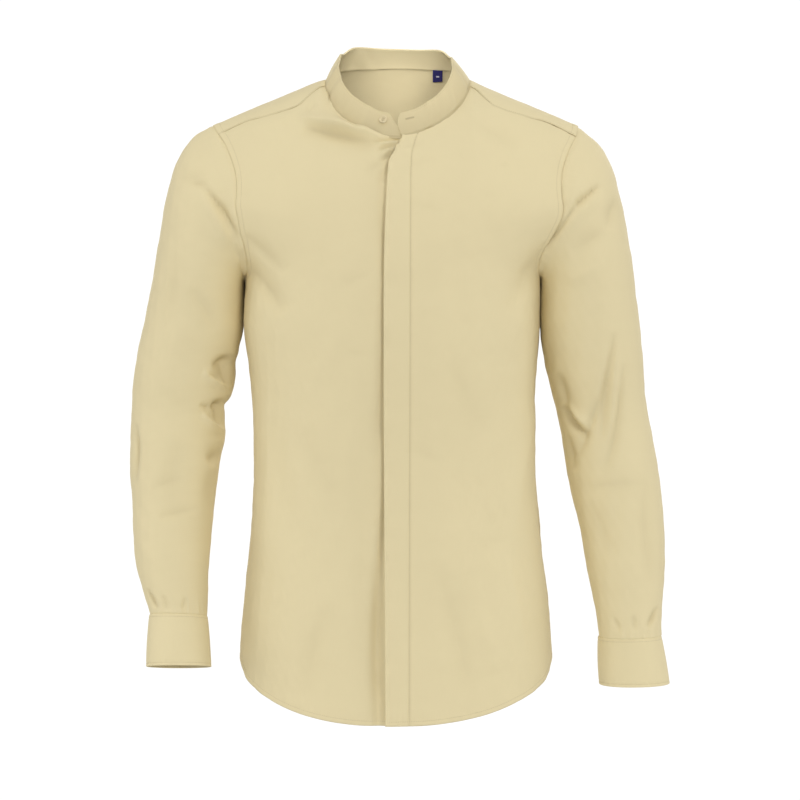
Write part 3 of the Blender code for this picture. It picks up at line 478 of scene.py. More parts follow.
    def yoke_seam_front(self, side: int) -> Array:
        """Front yoke seam from the neck to the armhole."""
        corner = self.neck_front(side, self.neck_centre)[-1:]
        middle = self.find(side * YOKE_FRONT[:, 0], YOKE_FRONT[:, 1])
        end = self.armhole(side, "front", 0.0, self.yoke_end)[-1:]
        rough = np.concatenate([corner, middle, end])
        key = np.arange(len(rough), dtype=float)
        fine = np.linspace(0.0, key[-1], LINE_POINTS)
        return np.stack([smooth(key, rough[:, i], fine) for i in range(2)], -1)

    def yoke_seam_back(self, side: int) -> Array:
        """Back yoke seam from the back centre to the armhole."""
        end = self.armhole(side, "back", 0.0, self.yoke_back_end)[-1]
        point = self.bare(end[0], end[1])
        share = np.linspace(0.0, 1.0, LINE_POINTS)
        height = self.yoke_back + (point[2] - self.yoke_back) * share**2
        line = self.find(point[0] * share, height, back=True)
        line[-1] = end
        return line

    def hem(self, angle: Array, lowest: float) -> Array:
        """Rise of the shirt-tail hem at an angle."""
        share = np.abs(np.cos(angle)) ** (2.0 / TORSO[1, 5])
        lift = smooth(HEM_CURVE[:, 0], HEM_CURVE[:, 1], share)
        return lowest + (self.hem_side - lowest) * lift - CHEST


FORM = WornForm()


def coons(bottom: Array, top: Array, left: Array, right: Array, u: Array, v: Array,
          fade: float = 1.0) -> Array:
    """Grid between four lines that share corners.

    The grid is (1 - v) bottom + v top, plus (1 - u)^fade times what the left line has over
    its chord, plus u^fade times the same of the right line.

    Args:
        bottom, top: lines with one place for each u.
        left, right: lines with one place for each v.
        u, v: shares across and up, 0 to 1.
        fade: how soon the bow of the side lines fades inward.

    Returns:
        Grid of places, rows by columns by 2.
    """
    u, v = u[None, :, None], v[:, None, None]
    left_bow = left[:, None] - (1 - v) * bottom[0] - v * top[0]
    right_bow = right[:, None] - (1 - v) * bottom[-1] - v * top[-1]
    return ((1 - v) * bottom[None] + v * top[None]
            + (1 - u)**fade * left_bow + u**fade * right_bow)


# --------------------------------------------------------------------------------- creases

class Crease(NamedTuple):
    """Trough (rise below 0) or ridge along a line seen from the front, in millimetres.

    The two widths are those of its left and right slopes, looking along the line.
    """

    x1: float
    z1: float
    x2: float
    z2: float
    rise: float
    left: float
    right: float


def creases(*rows: tuple[float, ...]) -> tuple[Crease, ...]:
    """Creases from rows of their numbers."""
    return tuple(Crease(*row) for row in rows)


FRONT_CREASES = creases(
    (-114, -51, -16, -75, 6.6, 13, 4),              # cloth pushed up under the band
    (-110, -61, -18, -81, -4.8, 4, 11), (-94, -29, -103, -46, -1.2, 3, 3),
    (-81, -27, -75, -43, -1.0, 3, 3),
    (8, -75, -28, -79, -3.0, 2, 2),                 # gathers at the neck opening
    (8, -78, -26, -85, 2.0, 2.4, 2), (7, -79, -23, -91, -3.4, 2, 2),
    (5, -83, -20, -97, 2.0, 2.4, 2), (3, -85, -17, -104, -3.4, 2.2, 2.2),
    (-13, -104, -34, -118, -0.9, 4, 4),
    (-178, -190, -128, -236, -2.2, 8, 8),           # underarm, wearer's right
    (-176, -200, -124, -250, 1.0, 7, 7), (-177, -220, -130, -282, -2.4, 8, 8),
    (-22, -160, -23, -420, 0.8, 4, 14),
    (165, -383, 134, -553, 2.6, 10, 26),            # long side fold, wearer's left
    (131, -547, 150, -697, 2.4, 11, 26), (-150, -359, -157, -676, 1.5, 24, 9),
    (174, -196, 140, -262, -1.5, 9, 9),             # underarm, wearer's left
    (160, -240, 132, -330, 1.1, 12, 14),
    (7, -113, 47, -101, -0.6, 4, 4),                # pulls from the hidden buttons
    (9, -153, 56, -165, -0.6, 5, 5), (6, -91, 33, -80, -0.6, 3, 3),
    (-24, -236, -66, -250, -0.6, 6, 6), (-24, -336, -70, -322, -0.6, 6, 6),
    (10, -441, 58, -456, -0.6, 7, 7), (119, -110, 133, -106, -0.5, 3, 3),
    (87, -54, 146, -90, -0.9, 10, 10), (-113, -43, -173, -63, 0.7, 8, 8),
    (-28, -568, -21, -730, -1.5, 8, 6), (-76, -615, -112, -732, -1.2, 14, 14),
    (51, -568, 86, -731, -1.1, 14, 14), (-112, -418, -59, -522, -1.0, 16, 16),
    (-60, -300, -110, -380, 0.8, 18, 18), (60, -330, 104, -430, -0.9, 16, 16),
    (96, -620, 118, -700, 0.9, 10, 14),
)
UNDER_CREASES = creases(      # hollow along the folded edge
    (10, -68, -17, -132, -4.4, 6, 5), (-12, -100, -16, -470, -3.4, 8, 6),
    (-15, -360, -16, -785, -4.4, 9, 6), (-18, -500, -15, -960, -5.0, 7, 6),
)
BACK_CREASES = creases(
    (-170, -200, -116, -262, -2.4, 9, 9), (-168, -232, -104, -318, -2.2, 8, 11),
    (172, -196, 122, -250, -2.2, 8, 8), (168, -236, 116, -300, -2.0, 9, 9),
    (-120, -150, -40, -172, -1.0, 12, 12), (128, -140, 30, -180, -1.1, 12, 12),
    (-66, -300, -92, -470, 1.6, 14, 20), (-34, -380, -46, -640, -1.8, 12, 12),
    (38, -360, 62, -620, -2.0, 12, 10), (84, -330, 106, -520, 1.8, 12, 18),
    (136, -420, 118, -640, -1.6, 12, 12), (-142, -430, -122, -650, -1.7, 12, 12),
    (-20, -560, 40, -700, -1.0, 16, 16), (-86, -90, -60, -104, -0.5, 5, 5),
    (70, -88, 104, -96, -0.5, 5, 5),
)
SLEEVE_CREASES = {
    ("left", "front"): creases(
        (243, -128, 212, -153, -2.4, 4, 3), (223, -142, 171, -205, -2.2, 6, 4),
        (237, -141, 190, -191, 1.3, 8, 8), (262, -141, 250, -181, -1.3, 7, 7),
        (249, -184, 204, -207, -1.2, 7, 9), (246, -219, 201, -245, 1.0, 9, 9),
        (258, -302, 243, -433, -2.2, 5, 5), (264, -306, 254, -418, 1.2, 5, 5),
        (274, -338, 249, -473, -1.8, 5, 5), (241, -380, 216, -453, -2.0, 5, 6),
        (194, -391, 226, -428, -4.2, 4, 4), (201, -385, 232, -421, 1.8, 5, 5),
        (204, -425, 212, -468, -2.0, 4, 4), (190, -350, 209, -404, -2.0, 7, 7),
        (230, -501, 256, -572, -0.9, 12, 12), (312, -628, 297, -652, -2.2, 3, 3),
        (256, -640, 265, -656, -1.0, 3, 3), (280, -636, 282, -655, -0.9, 3, 3),
        (295, -478, 299, -608, -1.2, 9, 9), (222, -486, 300, -482, -0.7, 6, 10),
    ),
    ("right", "front"): creases(
        (-244, -125, -223, -129, -1.6, 3, 3), (-227, -127, -184, -194, -2.6, 4, 4),
        (-232, -139, -192, -200, 1.4, 7, 7), (-262, -120, -222, -116, -0.9, 6, 8),
        (-228, -349, -194, -374, 2.9, 5, 5), (-218, -343, -187, -333, -2.8, 5, 7),
        (-203, -328, -200, -376, -3.2, 10, 12), (-214, -382, -208, -430, -2.6, 7, 9),
        (-224, -351, -206, -359, -1.8, 3, 3), (-219, -393, -197, -385, -4.2, 5, 6),
        (-224, -392, -210, -399, 1.4, 3, 3), (-230, -399, -199, -427, 2.8, 4, 5),
        (-233, -388, -216, -396, -1.8, 3, 3), (-223, -457, -202, -444, -3.2, 9, 9),
        (-220, -466, -216, -525, -1.5, 8, 8), (-282, -520, -233, -512, -0.9, 4, 4),
        (-310, -411, -310, -482, -2.2, 3, 3), (-295, -606, -281, -629, -2.2, 3, 3),
        (-274, -612, -268, -630, -1.0, 3, 3), (-246, -614, -250, -630, -0.9, 3, 3),
        (-261, -205, -270, -300, -0.9, 12, 12), (-262, -430, -265, -525, -0.8, 14, 14),
        (-250, -476, -292, -486, -0.7, 4, 4), (-240, -250, -212, -300, -0.9, 9, 9),
    ),
    ("left", "back"): creases(
        (171, -222, 172, -330, 2.0, 16, 16),        # closes the cleft to the body
        (236, -140, 178, -214, -2.2, 6, 5), (250, -190, 190, -250, -1.6, 8, 8),
        (300, -372, 240, -402, -2.6, 6, 7), (306, -404, 214, -420, -2.4, 6, 6),
        (304, -386, 236, -412, 1.6, 6, 6), (308, -432, 250, -446, -1.6, 7, 8),
        (196, -388, 226, -420, -3.6, 5, 5), (262, -470, 276, -590, -1.0, 12, 12),
        (256, -280, 262, -362, -1.2, 10, 10), (288, -604, 284, -654, -1.6, 4, 4),
        (268, -610, 268, -654, -1.6, 4, 4),
    ),
    ("right", "back"): creases(
        (-182, -222, -184, -318, 2.0, 16, 16), (-240, -132, -188, -206, -2.2, 6, 5),
        (-256, -196, -200, -246, -1.5, 8, 8), (-308, -360, -240, -384, -2.6, 6, 7),
        (-312, -398, -214, -404, -2.4, 6, 6), (-306, -380, -232, -396, 1.6, 6, 6),
        (-314, -430, -246, -440, -1.6, 8, 8), (-218, -343, -187, -333, -3.8, 6, 7),
        (-219, -395, -197, -387, -3.6, 5, 6), (-266, -462, -258, -560, -1.0, 12, 12),
        (-262, -270, -270, -350, -1.1, 10, 10), (-264, -584, -262, -628, -1.6, 4, 4),
        (-280, -586, -276, -628, -1.5, 4, 4),
    ),
}
CREASE_TAPER = 0.7
CREASE_SHARPNESS = 1.5
CREASE_SWAY = 0.012
SLEEVE_DEPTH = 2.4
BODY_DEPTH = 1.6
# painted shade in crease troughs: its share, and the trough depth that gives that share
FOLD_PAINTED_SHADE = 0.20
FOLD_DEEP = 5.0 * MM


def crease_field(x: Array, z: Array, creases: tuple[Crease, ...]) -> Array:
    """Sum of creases: each a peaked bell across its line, tapered and slightly bent along it.

    Args:
        x, z: places seen from the front, in metres.
        creases: the creases.

    Returns:
        How far out the cloth stands, in metres.
    """
    total = np.zeros(np.shape(x))
    for number, fold in enumerate(creases):
        start = np.array([fold.x1, fold.z1]) * MM
        way = np.array([fold.x2, fold.z2]) * MM - start
        length = np.hypot(*way)
        t = ((x - start[0]) * way[0] + (z - start[1]) * way[1]) / length**2
        off = ((z - start[1]) * way[0] - (x - start[0]) * way[1]) / length
        inside = np.clip(t, 0.0, 1.0)
        off = off + length * CREASE_SWAY * np.sin(2.0 * np.pi * inside + 1.7 * number)
        width = np.where(off > 0.0, fold.left, fold.right) * MM * (0.8 + 0.4 * inside)
        taper = np.sin(np.pi * inside) ** CREASE_TAPER
        total += fold.rise * MM * taper * np.exp(-np.abs(off / width) ** CREASE_SHARPNESS)
    return total


def painted_fold_shade(high: Array) -> Array:
    """Share of painted shade in the troughs of a crease field, more where they are deeper."""
    return FOLD_PAINTED_SHADE * np.clip(-high / FOLD_DEEP, 0.0, 1.4)


UNEVEN_WAVES = (            # length in metres, turn, share
    (0.062, 0.3, 0.5), (0.083, 1.2, 0.8), (0.118, 2.1, 1.0), (0.150, 0.8, 1.2),
    (0.190, 2.7, 1.3), (0.0137, 0.9, 0.22), (0.0183, 2.3, 0.28), (0.0232, 0.2, 0.36),
    (0.0296, 1.7, 0.42), (0.0371, 2.9, 0.46))


def unevenness(a: Array, b: Array, seed: float, size: float = 0.5 * MM) -> Array:
    """Soft unevenness of the cloth: broad crossing sines and low short ones.

    Args:
        a, b: two coordinates along the cloth, in metres.
        seed: shifts the waves.
        size: height of the waves, in metres.

    Returns:
        Height of the cloth.
    """
    total = np.zeros(np.shape(a))
    for number, (wave, turn, share) in enumerate(UNEVEN_WAVES):
        turn = turn + seed
        along = (a * np.cos(turn) + b * np.sin(turn)) / wave
        total += share * np.sin(2.0 * np.pi * along + seed * (number + 1) * 2.3)
    return total * size / 2.0


# ---------------------------------------------------------------------------------- panels

class Finish(Enum):
    """Which material a piece takes."""

    CLOTH = "shirt_cloth"
    THREAD = "thread_with_painted_shade"
    BUTTON = "tonal_button"
    LABEL = "woven_label"
    LABEL_MARK = "label_mark"


@dataclass
class Panel:
    """One piece of cloth on a grid of points, rows up and columns to the right."""

    name: str
    points: Array
    wall: float = 0.0009
    rim: float = 0.0003
    closed: bool = False
    flip: bool = False
    shade: Array | None = None
    weld: float = 0.0
    finish: Finish = Finish.CLOTH
    slot: str = "cloth"

    def normals(self) -> Array:
        """Unit normals facing out of the shirt."""
        normal = grid_normals(self.points, self.closed)
        return -normal if self.flip else normal

    def push(self, amount: Array) -> None:
        """Move the cloth out along its own normals."""
        self.points = self.points + self.normals() * amount[..., None]

    def inset(self, line: Array, distance: float, across: int, last: bool,
              keep: slice) -> tuple[Array, Array]:
        """Line on the cloth at a set distance from a seam.

        For each row, or column, the first place from the seam where the distance is reached.

        Args:
            line: the seam's points.
            distance: how far from it.
            across: 0 walks up columns, 1 walks along rows.
            last: whether the walk starts from the last row or column.
            keep: which rows, or columns, take part.

        Returns:
            Points and normals along the line.
        """
        away, _ = beside_line(self.points, line)
        normal, grid = self.normals(), self.points
        if across == 0:
            away, grid, normal = away.T, grid.transpose(1, 0, 2), normal.transpose(1, 0, 2)
        if last:
            away, grid, normal = away[:, ::-1], grid[:, ::-1], normal[:, ::-1]
        away, grid, normal = away[keep], grid[keep], normal[keep]
        past = np.clip((away >= distance).argmax(axis=1), 1, away.shape[1] - 1)
        rows = np.arange(len(past))
        low, high = away[rows, past - 1], away[rows, past]
        col = past - 1 + np.clip((distance - low) / (high - low + TINY), 0.0, 1.0)
        return cell(grid, rows, col), cell(normal, rows, col)

    def spot(self, row: float, col: float, behind: float, ahead: float
             ) -> tuple[Array, Array, Array]:
        """Place, facing and direction along a row.

        Args:
            row: its number, with a fraction.
            col: number of the column, with a fraction.
            behind: how many columns before it the direction is measured from.
            ahead: how many columns after it the direction is measured to.

        Returns:
            Place, facing and direction.
        """
        row, col = np.array(row), np.array(col)
        way = cell(self.points, row, col + ahead) - cell(self.points, row, col - behind)
        return cell(self.points, row, col), unit(cell(self.normals(), row, col)), unit(way)

    def build(self) -> bpy.types.Object:
        """Make the mesh with its wall and rounded rim, and dress it.

        Returns:
            The new object, riding on the shirt.
        """
        item = grid_object(self.name + "_cloth", self.points, self.closed, self.flip)
        item.data.materials.append(painted(self.finish))
        if self.shade is not None:
            # mesh attribute seam: painted shade at seams, in crease troughs and on the collar band's
            # front
            layer = item.data.attributes.new("seam", "FLOAT", "POINT")
            layer.data.foreach_set("value", self.shade.reshape(-1).astype(np.float32))
        shell = item.modifiers.new("wall", "SOLIDIFY")
        shell.thickness = self.wall
        shell.offset = -1.0
        shell.use_rim = True
        shell.use_quality_normals = True
        rim = item.modifiers.new("rim", "BEVEL")
        rim.width = self.rim
        rim.segments = 2
        rim.limit_method = "ANGLE"
        rim.angle_limit = np.radians(60.0)
        if self.weld > 0.0:
            item.modifiers.new("weld", "WELD").merge_threshold = self.weld
        adopt(item, self.name)
        return item


def adopt(item: bpy.types.Object, node: str | None = None) -> None:
    """Ride a piece on the shirt and let it stand for a CAD node."""
    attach(item, "root")
    if node is not None:
        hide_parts(node)


def mesh_object(name: str, points: Array, faces: list[list[int]],
                paint: bpy.types.Material | None = None) -> bpy.types.Object:
    """Smooth-shaded object from points and faces, linked to the scene.

    Args:
        name: its name.
        points: one point a row.
        faces: the numbers of each face's points.
        paint: its material.

    Returns:
        The object.
    """
    mesh = bpy.data.meshes.new(name)
    mesh.from_pydata(points.tolist(), [], faces)
    mesh.shade_smooth()
    if paint is not None:
        mesh.materials.append(paint)
    item = bpy.data.objects.new(name, mesh)
    bpy.context.scene.collection.objects.link(item)
    return item


def grid_faces(rows: int, cols: int, closed: bool, flip: bool) -> Array:
    """Quads between neighbouring rows and columns of a grid."""
    number = np.arange(rows * cols).reshape(rows, cols)
    if closed:
        number = np.concatenate([number, number[:, :1]], axis=1)
    faces = np.stack([number[:-1, :-1], number[:-1, 1:], number[1:, 1:], number[1:, :-1]], -1)
    faces = faces.reshape(-1, 4)
    return faces[:, ::-1] if flip else faces


def grid_object(name: str, points: Array, closed: bool = False, flip: bool = False
                ) -> bpy.types.Object:
    """Object on a grid of points, with a UV map that measures the cloth in metres.

    Args:
        name: its name.
        points: rows by columns by 3.
        closed: whether the last column joins the first.
        flip: whether its faces are turned round.

    Returns:
        The object.
    """
    faces = grid_faces(*points.shape[:2], closed, flip)
    item = mesh_object(name, points.reshape(-1, 3), faces.tolist())
    wide = np.linalg.norm(np.diff(points, axis=1), axis=-1).mean(axis=0)
    tall = np.linalg.norm(np.diff(points, axis=0), axis=-1).mean(axis=1)
    u, v = (np.concatenate([[0.0], np.cumsum(size)]) for size in (wide, tall))
    place = np.stack(np.broadcast_arrays(u[None, :], v[:, None]), -1).reshape(-1, 2)
    loops = place[faces]
    if closed:
        round_all = u[-1] + wide.mean()
        wraps = (loops[..., 0].max(axis=1) - loops[..., 0].min(axis=1)) > round_all / 2
        low = loops[..., 0] < round_all / 2
        loops[..., 0] += round_all * (wraps[:, None] & low)
    layer = item.data.uv_layers.new(name="cloth")
    layer.data.foreach_set("uv", loops.reshape(-1).astype(np.float32))
    return item


# -------------------------------------------------------------------------------- finishes

Color = tuple[float, float, float, float]


@dataclass
class NodeBench:
    """Short way to lay and link nodes in a tree."""

    tree: bpy.types.NodeTree

    def add(self, kind: str, inputs: dict[str | int, object] | None = None,
            **settings: object) -> bpy.types.Node:
        """New node.

        Args:
            kind: its type, without the words that all shader nodes begin with.
            inputs: a value to set or an output to link, by the input's name or number.
            settings: the node's own settings.

        Returns:
            The node.
        """
        node = self.tree.nodes.new("ShaderNode" + kind)
        for name, value in settings.items():
            setattr(node, name, value)
        self.feed(node, inputs or {})
        return node

    def feed(self, node: bpy.types.Node, inputs: dict[str | int, object]) -> None:
        """Set or link a node's inputs."""
        for name, value in inputs.items():
            if isinstance(value, bpy.types.NodeSocket):
                self.tree.links.new(value, node.inputs[name])
            else:
                node.inputs[name].default_value = value

    def math(self, operation: str, first: object, second: object) -> bpy.types.NodeSocket:
        """Result of a sum on sockets or numbers."""
        return self.add("Math", {0: first, 1: second}, operation=operation).outputs[0]

    def times_plus(self, value: object, factor: float, more: object) -> bpy.types.NodeSocket:
        """Result of value times factor, plus more."""
        return self.math("ADD", self.math("MULTIPLY", value, factor), more)

    def noise(self, place: object, scale: float, detail: float) -> bpy.types.NodeSocket:
        """Noise, 0 to 1, at a place."""
        node = self.add("TexNoise", {"Vector": place, "Scale": scale, "Detail": detail})
        return node.outputs["Fac"]

    def stretched(self, place: object, scale: tuple[float, float, float]
                  ) -> bpy.types.NodeSocket:
        """A place with each of its coordinates scaled."""
        return self.add("Mapping", {"Vector": place, "Scale": scale}).outputs[0]

    def blend(self, share: object, first: object, second: object) -> bpy.types.NodeSocket:
        """Colour between two others."""
        node = self.add("Mix", {0: share, 6: first, 7: second}, data_type="RGBA")
        return node.outputs[2]


@cache
def poplin_group() -> bpy.types.NodeTree:
    """Plain weave with thicker yarns here and there, as tone, roughness and height.

    Two bands of waves cross on the piece's own cloth map. Stretched noise makes the uneven
    yarns both ways, and broad noise makes the cloth's soft mottling.
    """
    group = bpy.data.node_groups.new("poplin_weave", "ShaderNodeTree")
    for name in ("Cloth map", "Object place"):
        group.interface.new_socket(name=name, in_out="INPUT", socket_type="NodeSocketVector")
    for name in ("Tone", "Roughness", "Height"):
        group.interface.new_socket(name=name, in_out="OUTPUT", socket_type="NodeSocketFloat")
    bench = NodeBench(group)
    inlet = group.nodes.new("NodeGroupInput")
    outlet = group.nodes.new("NodeGroupOutput")
    cloth = inlet.outputs["Cloth map"]
    yarn_scale, slub_length, slub_width = 640.0, 45.0, 900.0
    bands = [bench.add("TexWave", {"Vector": cloth, "Scale": yarn_scale, "Distortion": 0.6,
                                   "Detail": 1.0}, wave_type="BANDS", bands_direction=way)
             for way in ("X", "Y")]
    slubs = [bench.noise(bench.stretched(cloth, stretch), 1.0, 3.0)
             for stretch in ((slub_width, slub_length, 1.0), (slub_length, slub_width, 1.0))]
    weave = bench.math("MULTIPLY", bands[0].outputs["Fac"], bands[1].outputs["Fac"])
    slub = bench.math("ADD", slubs[0], slubs[1])
    broad = bench.noise(inlet.outputs["Object place"], 16.0, 4.0)
    tone = bench.times_plus(slub, 0.28, bench.math("MULTIPLY", broad, 0.34))
    bench.feed(outlet, {
        "Tone": bench.math("ADD", tone, bench.math("MULTIPLY", weave, 0.20)),
        "Roughness": bench.times_plus(slub, 0.06, 0.76),
        "Height": bench.times_plus(weave, 0.7, bench.math("MULTIPLY", slub, 0.5)),
    })
    return group


@dataclass(frozen=True)
class ClothFinish:
    """Woven cotton in two close shades, matt with a little sheen, with painted shade from its seam
    attribute.
    """

    light: Color
    dark: Color
    # colour of the painted shade that the seam attribute mixes in
    seam: Color = (0.400, 0.320, 0.170, 1.0)
    bump: float = 0.35
    yarn_height: float = 0.00012
    sheen: float = 0.06

    def dress(self, bench: NodeBench, shader: bpy.types.Node) -> None:
        """Let the weave drive colour, roughness and bump, and mix painted shade into the colour.

        Args:
            bench: the material's nodes.
            shader: its Principled shader.
        """
        place = bench.add("TexCoord").outputs
        cloth = bench.add("Group", node_tree=poplin_group())
        bench.feed(cloth, {"Cloth map": place["UV"], "Object place": place["Object"]})
        plain = bench.blend(cloth.outputs["Tone"], self.dark, self.light)
        # share of painted shade from the seam attribute, mixed into the base colour
        painted_shade_share = bench.add("Attribute", attribute_name="seam").outputs["Fac"]
        bump = bench.add("Bump", {"Strength": self.bump, "Distance": self.yarn_height,
                                  "Height": cloth.outputs["Height"]})
        bench.feed(shader, {"Sheen Weight": self.sheen, "Specular IOR Level": 0.25,
                            "Base Color": bench.blend(painted_shade_share, plain, self.seam),
                            "Roughness": cloth.outputs["Roughness"],
                            "Normal": bump.outputs["Normal"]})


@dataclass(frozen=True)
class PlainFinish:
    """Thread, button or label mark: two shades mixed by noise, with a fine bump."""

    light: Color
    dark: Color
    scale: float
    roughness: float
    stretch: tuple[float, float, float] = (1.0, 1.0, 1.0)
    coat: float = 0.0
    bump: float = 0.2
    grain: float = 0.0001

    def dress(self, bench: NodeBench, shader: bpy.types.Node) -> None:
        """Let noise drive colour, roughness and bump.

        Args:
            bench: the material's nodes.
            shader: its Principled shader.
        """
        place = bench.add("TexCoord").outputs["Object"]
        noise = bench.noise(bench.stretched(place, self.stretch), self.scale, 4.0)
        bump = bench.add("Bump", {"Strength": self.bump, "Distance": self.grain,
                                  "Height": noise})
        bench.feed(shader, {"Coat Weight": self.coat, "Coat Roughness": 0.25,
                            "Base Color": bench.blend(noise, self.dark, self.light),
                            "Roughness": bench.times_plus(noise, 0.12, self.roughness - 0.06),
                            "Normal": bump.outputs["Normal"]})


FINISHES = {
    Finish.CLOTH: ClothFinish((0.800, 0.692, 0.424, 1.0), (0.745, 0.642, 0.388, 1.0)),
    # Thread: its own tonal colour made darker than the cloth, as painted shade of the stitch grooves.
    Finish.THREAD: PlainFinish((0.560, 0.470, 0.280, 1.0), (0.480, 0.400, 0.235, 1.0),
                               scale=900.0, roughness=0.62),
    Finish.BUTTON: PlainFinish((0.735, 0.625, 0.385, 1.0), (0.640, 0.535, 0.320, 1.0),
                               scale=160.0, roughness=0.34, stretch=(1.0, 1.0, 3.0),
                               coat=0.35, bump=0.05),
    Finish.LABEL: ClothFinish((0.034, 0.029, 0.185, 1.0), (0.016, 0.013, 0.105, 1.0),
                              bump=0.6, sheen=0.15),
    Finish.LABEL_MARK: PlainFinish((0.82, 0.82, 0.86, 1.0), (0.62, 0.62, 0.70, 1.0),
                                   scale=1400.0, roughness=0.7),
}


@cache
def painted(finish: Finish) -> bpy.types.Material:
    """A finish's material, made when it is first asked for."""
    material = bpy.data.materials.new(finish.value)
    material.use_nodes = True
    shader = material.node_tree.nodes["Principled BSDF"]
    FINISHES[finish].dress(NodeBench(material.node_tree), shader)
    return material


# -------------------------------------------------------------------------------- stitches

STITCH = ((-0.5, 0.45, -0.6), (0.0, 1.0, 0.35), (0.5, 0.45, -0.6))
BUTTON_BAR = ((-0.5, 0.5, -2.8125), (0.0, 1.0, 0.0), (0.5, 0.5, -2.8125))


@dataclass
class Sewing:
    """Rows of thread stitches of one panel, gathered into one mesh.

    A stitch is a slim spindle of three rings of four points. Its profile gives each ring's
    place as a share of the length, then its size and its lift as shares of the thickness.
    """

    name: str
    pitch: float = 0.0026
    length: float = 0.0021
    thickness: float = 0.00022
    profile: tuple[tuple[float, float, float], ...] = STITCH
    spread: float = 1.2
    blocks: list[Array] = field(default_factory=list)

    def lay(self, centre: Array, way: Array, side: Array, up: Array) -> None:
        """Add a stitch at each centre.

        Args:
            centre: middles of the stitches.
            way: unit vectors along the thread.
            side: unit vectors across it.
            up: unit vectors out of the cloth.
        """
        rings = []
        for share, size, lift in self.profile:
            hub = centre + way * share * self.length + up * lift * self.thickness
            for swing in np.pi / 4 + np.arange(4) * np.pi / 2:
                rings.append(hub + self.thickness * size * (
                    np.cos(swing) * side * self.spread + np.sin(swing) * up))
        self.blocks.append(np.stack(rings, 1))

    def row(self, points: Array, normals: Array) -> None:
        """Add stitches along a line, half sunk in the cloth.

        Args:
            points: the line on the cloth.
            normals: the cloth's normals there.
        """
        along = lengths(points)
        count = int(along[-1] / self.pitch)
        if count < 2:
            return
        at = (np.arange(count) + 0.5) * self.pitch
        half = self.length / 2
        way = unit(between(at + half, along, points) - between(at - half, along, points))
        up = between(at, along, normals)
        up = unit(up - way * (up * way).sum(1, keepdims=True))
        self.lay(between(at, along, points), way, np.cross(way, up), up)

    def beside(self, panel: Panel, line: Array, distance: float, across: int, last: bool,
               keep: slice) -> None:
        """Add stitches at a set distance from a seam, as Panel.inset finds it."""
        self.row(*panel.inset(line, distance, across, last, keep))

    def build(self) -> bpy.types.Object:
        """Make the mesh of all rows and dress it in thread."""
        points = np.concatenate(self.blocks)
        sides = [[a, a + 4, (a + 1) % 4 + 4, (a + 1) % 4] for a in range(4)]
        faces = np.array(sides + [[value + 4 for value in side] for side in sides]
                         + [[0, 1, 2, 3], [11, 10, 9, 8]])
        start = np.arange(len(points))[:, None, None] * points.shape[1]
        item = mesh_object(self.name, points.reshape(-1, 3),
                           (faces[None] + start).reshape(-1, 4).tolist(),
                           painted(Finish.THREAD))
        adopt(item)
        return item


# ---------------------------------------------------------------------- seams on the cloth

@dataclass(frozen=True)
class SeamLook:
    """Step, groove and puckers beside a seam, sizes in metres, and the painted shade in its valley."""

    valley: float = 0.0008
    valley_width: float = 0.0011
    lift: float = 0.0
    stitch_at: float = 0.0
    groove: float = 0.00035
    groove_width: float = 0.0011
    pucker: float = 0.00022
    pucker_reach: float = 0.0045
    pucker_pitch: float = 0.0085
    # mark: share of painted shade at the seam
    mark: float = 0.26

    def height(self, away: Array, along: Array, seed: float) -> Array:
        """How far the cloth stands out at a distance from the seam.

        A bell-shaped valley at the seam, a raised band as wide as the stitch line is away, a
        bell-shaped groove at the stitches, and an uneven ripple that fades on both sides.

        Args:
            away: distance from the seam.
            along: distance along it.
            seed: shifts the puckers.

        Returns:
            Height of the cloth.
        """
        high = -self.valley * bell(away, self.valley_width)
        if self.stitch_at > 0.0:
            high = high + self.lift * (1.0 - ease((away - self.stitch_at) / 0.0012))
            high = high - self.groove * bell(away - self.stitch_at, self.groove_width)
        wave = ripple(along, seed, self.pucker_pitch)
        return high + self.pucker * wave * bell(away - self.stitch_at, self.pucker_reach)

    def shade(self, away: Array) -> Array:
        """Painted shade in the seam's valley: a thin bell at the seam."""
        return self.mark * bell(away, 0.0010)


# Each look's mark is its share of painted shade at the seam.
FELLED = SeamLook(valley=0.0005, lift=0.0004, stitch_at=0.0075, groove=0.0003, pucker=0.0004,
                  pucker_reach=0.0040, mark=0.22)
YOKE_UPPER = SeamLook(valley=0.0006, lift=0.0003, stitch_at=0.0018, groove=0.0002,
                      pucker=0.00018)
PLAIN = SeamLook(valley=0.0006, pucker=0.00016)
SIDE = SeamLook(valley=0.0007, lift=0.0003, stitch_at=0.006, groove=0.0003, pucker=0.0002)
HEM = SeamLook(valley=0.0, lift=0.0003, stitch_at=0.0054, groove=0.00035, pucker=0.0004,
               pucker_pitch=0.011, pucker_reach=0.0048, mark=0.15)
FLY_STITCH = SeamLook(valley=0.0007, valley_width=0.0009, pucker=0.0003, pucker_reach=0.006,
                      pucker_pitch=0.017, mark=0.20)
NECK = SeamLook(valley=0.0003, valley_width=0.0014, pucker=0.00025, pucker_reach=0.007,
                pucker_pitch=0.012, mark=0.25)
GATHERED = SeamLook(valley=0.0, pucker=0.0005, pucker_reach=0.008, pucker_pitch=0.010, mark=0.0)
MOST_SHADE = 0.8

Seam = tuple[Array, SeamLook, float]


def press_seams(flat: Array, seams: list[Seam], high: Array, shade: Array
                ) -> tuple[Array, Array]:
    """Add the relief and the painted shade of seams to those of a panel.

    Args:
        flat: the panel's points before its relief.
        seams: each seam's line, its look and the seed of its puckers.
        high: the panel's height so far.
        shade: its painted shade so far.

    Returns:
        Height and shade with the seams.
    """
    for line, look, seed in seams:
        away, along = beside_line(flat, line)
        high = high + look.height(away, along, seed)
        shade = shade + look.shade(away)
    return high, np.clip(shade, 0.0, MOST_SHADE)


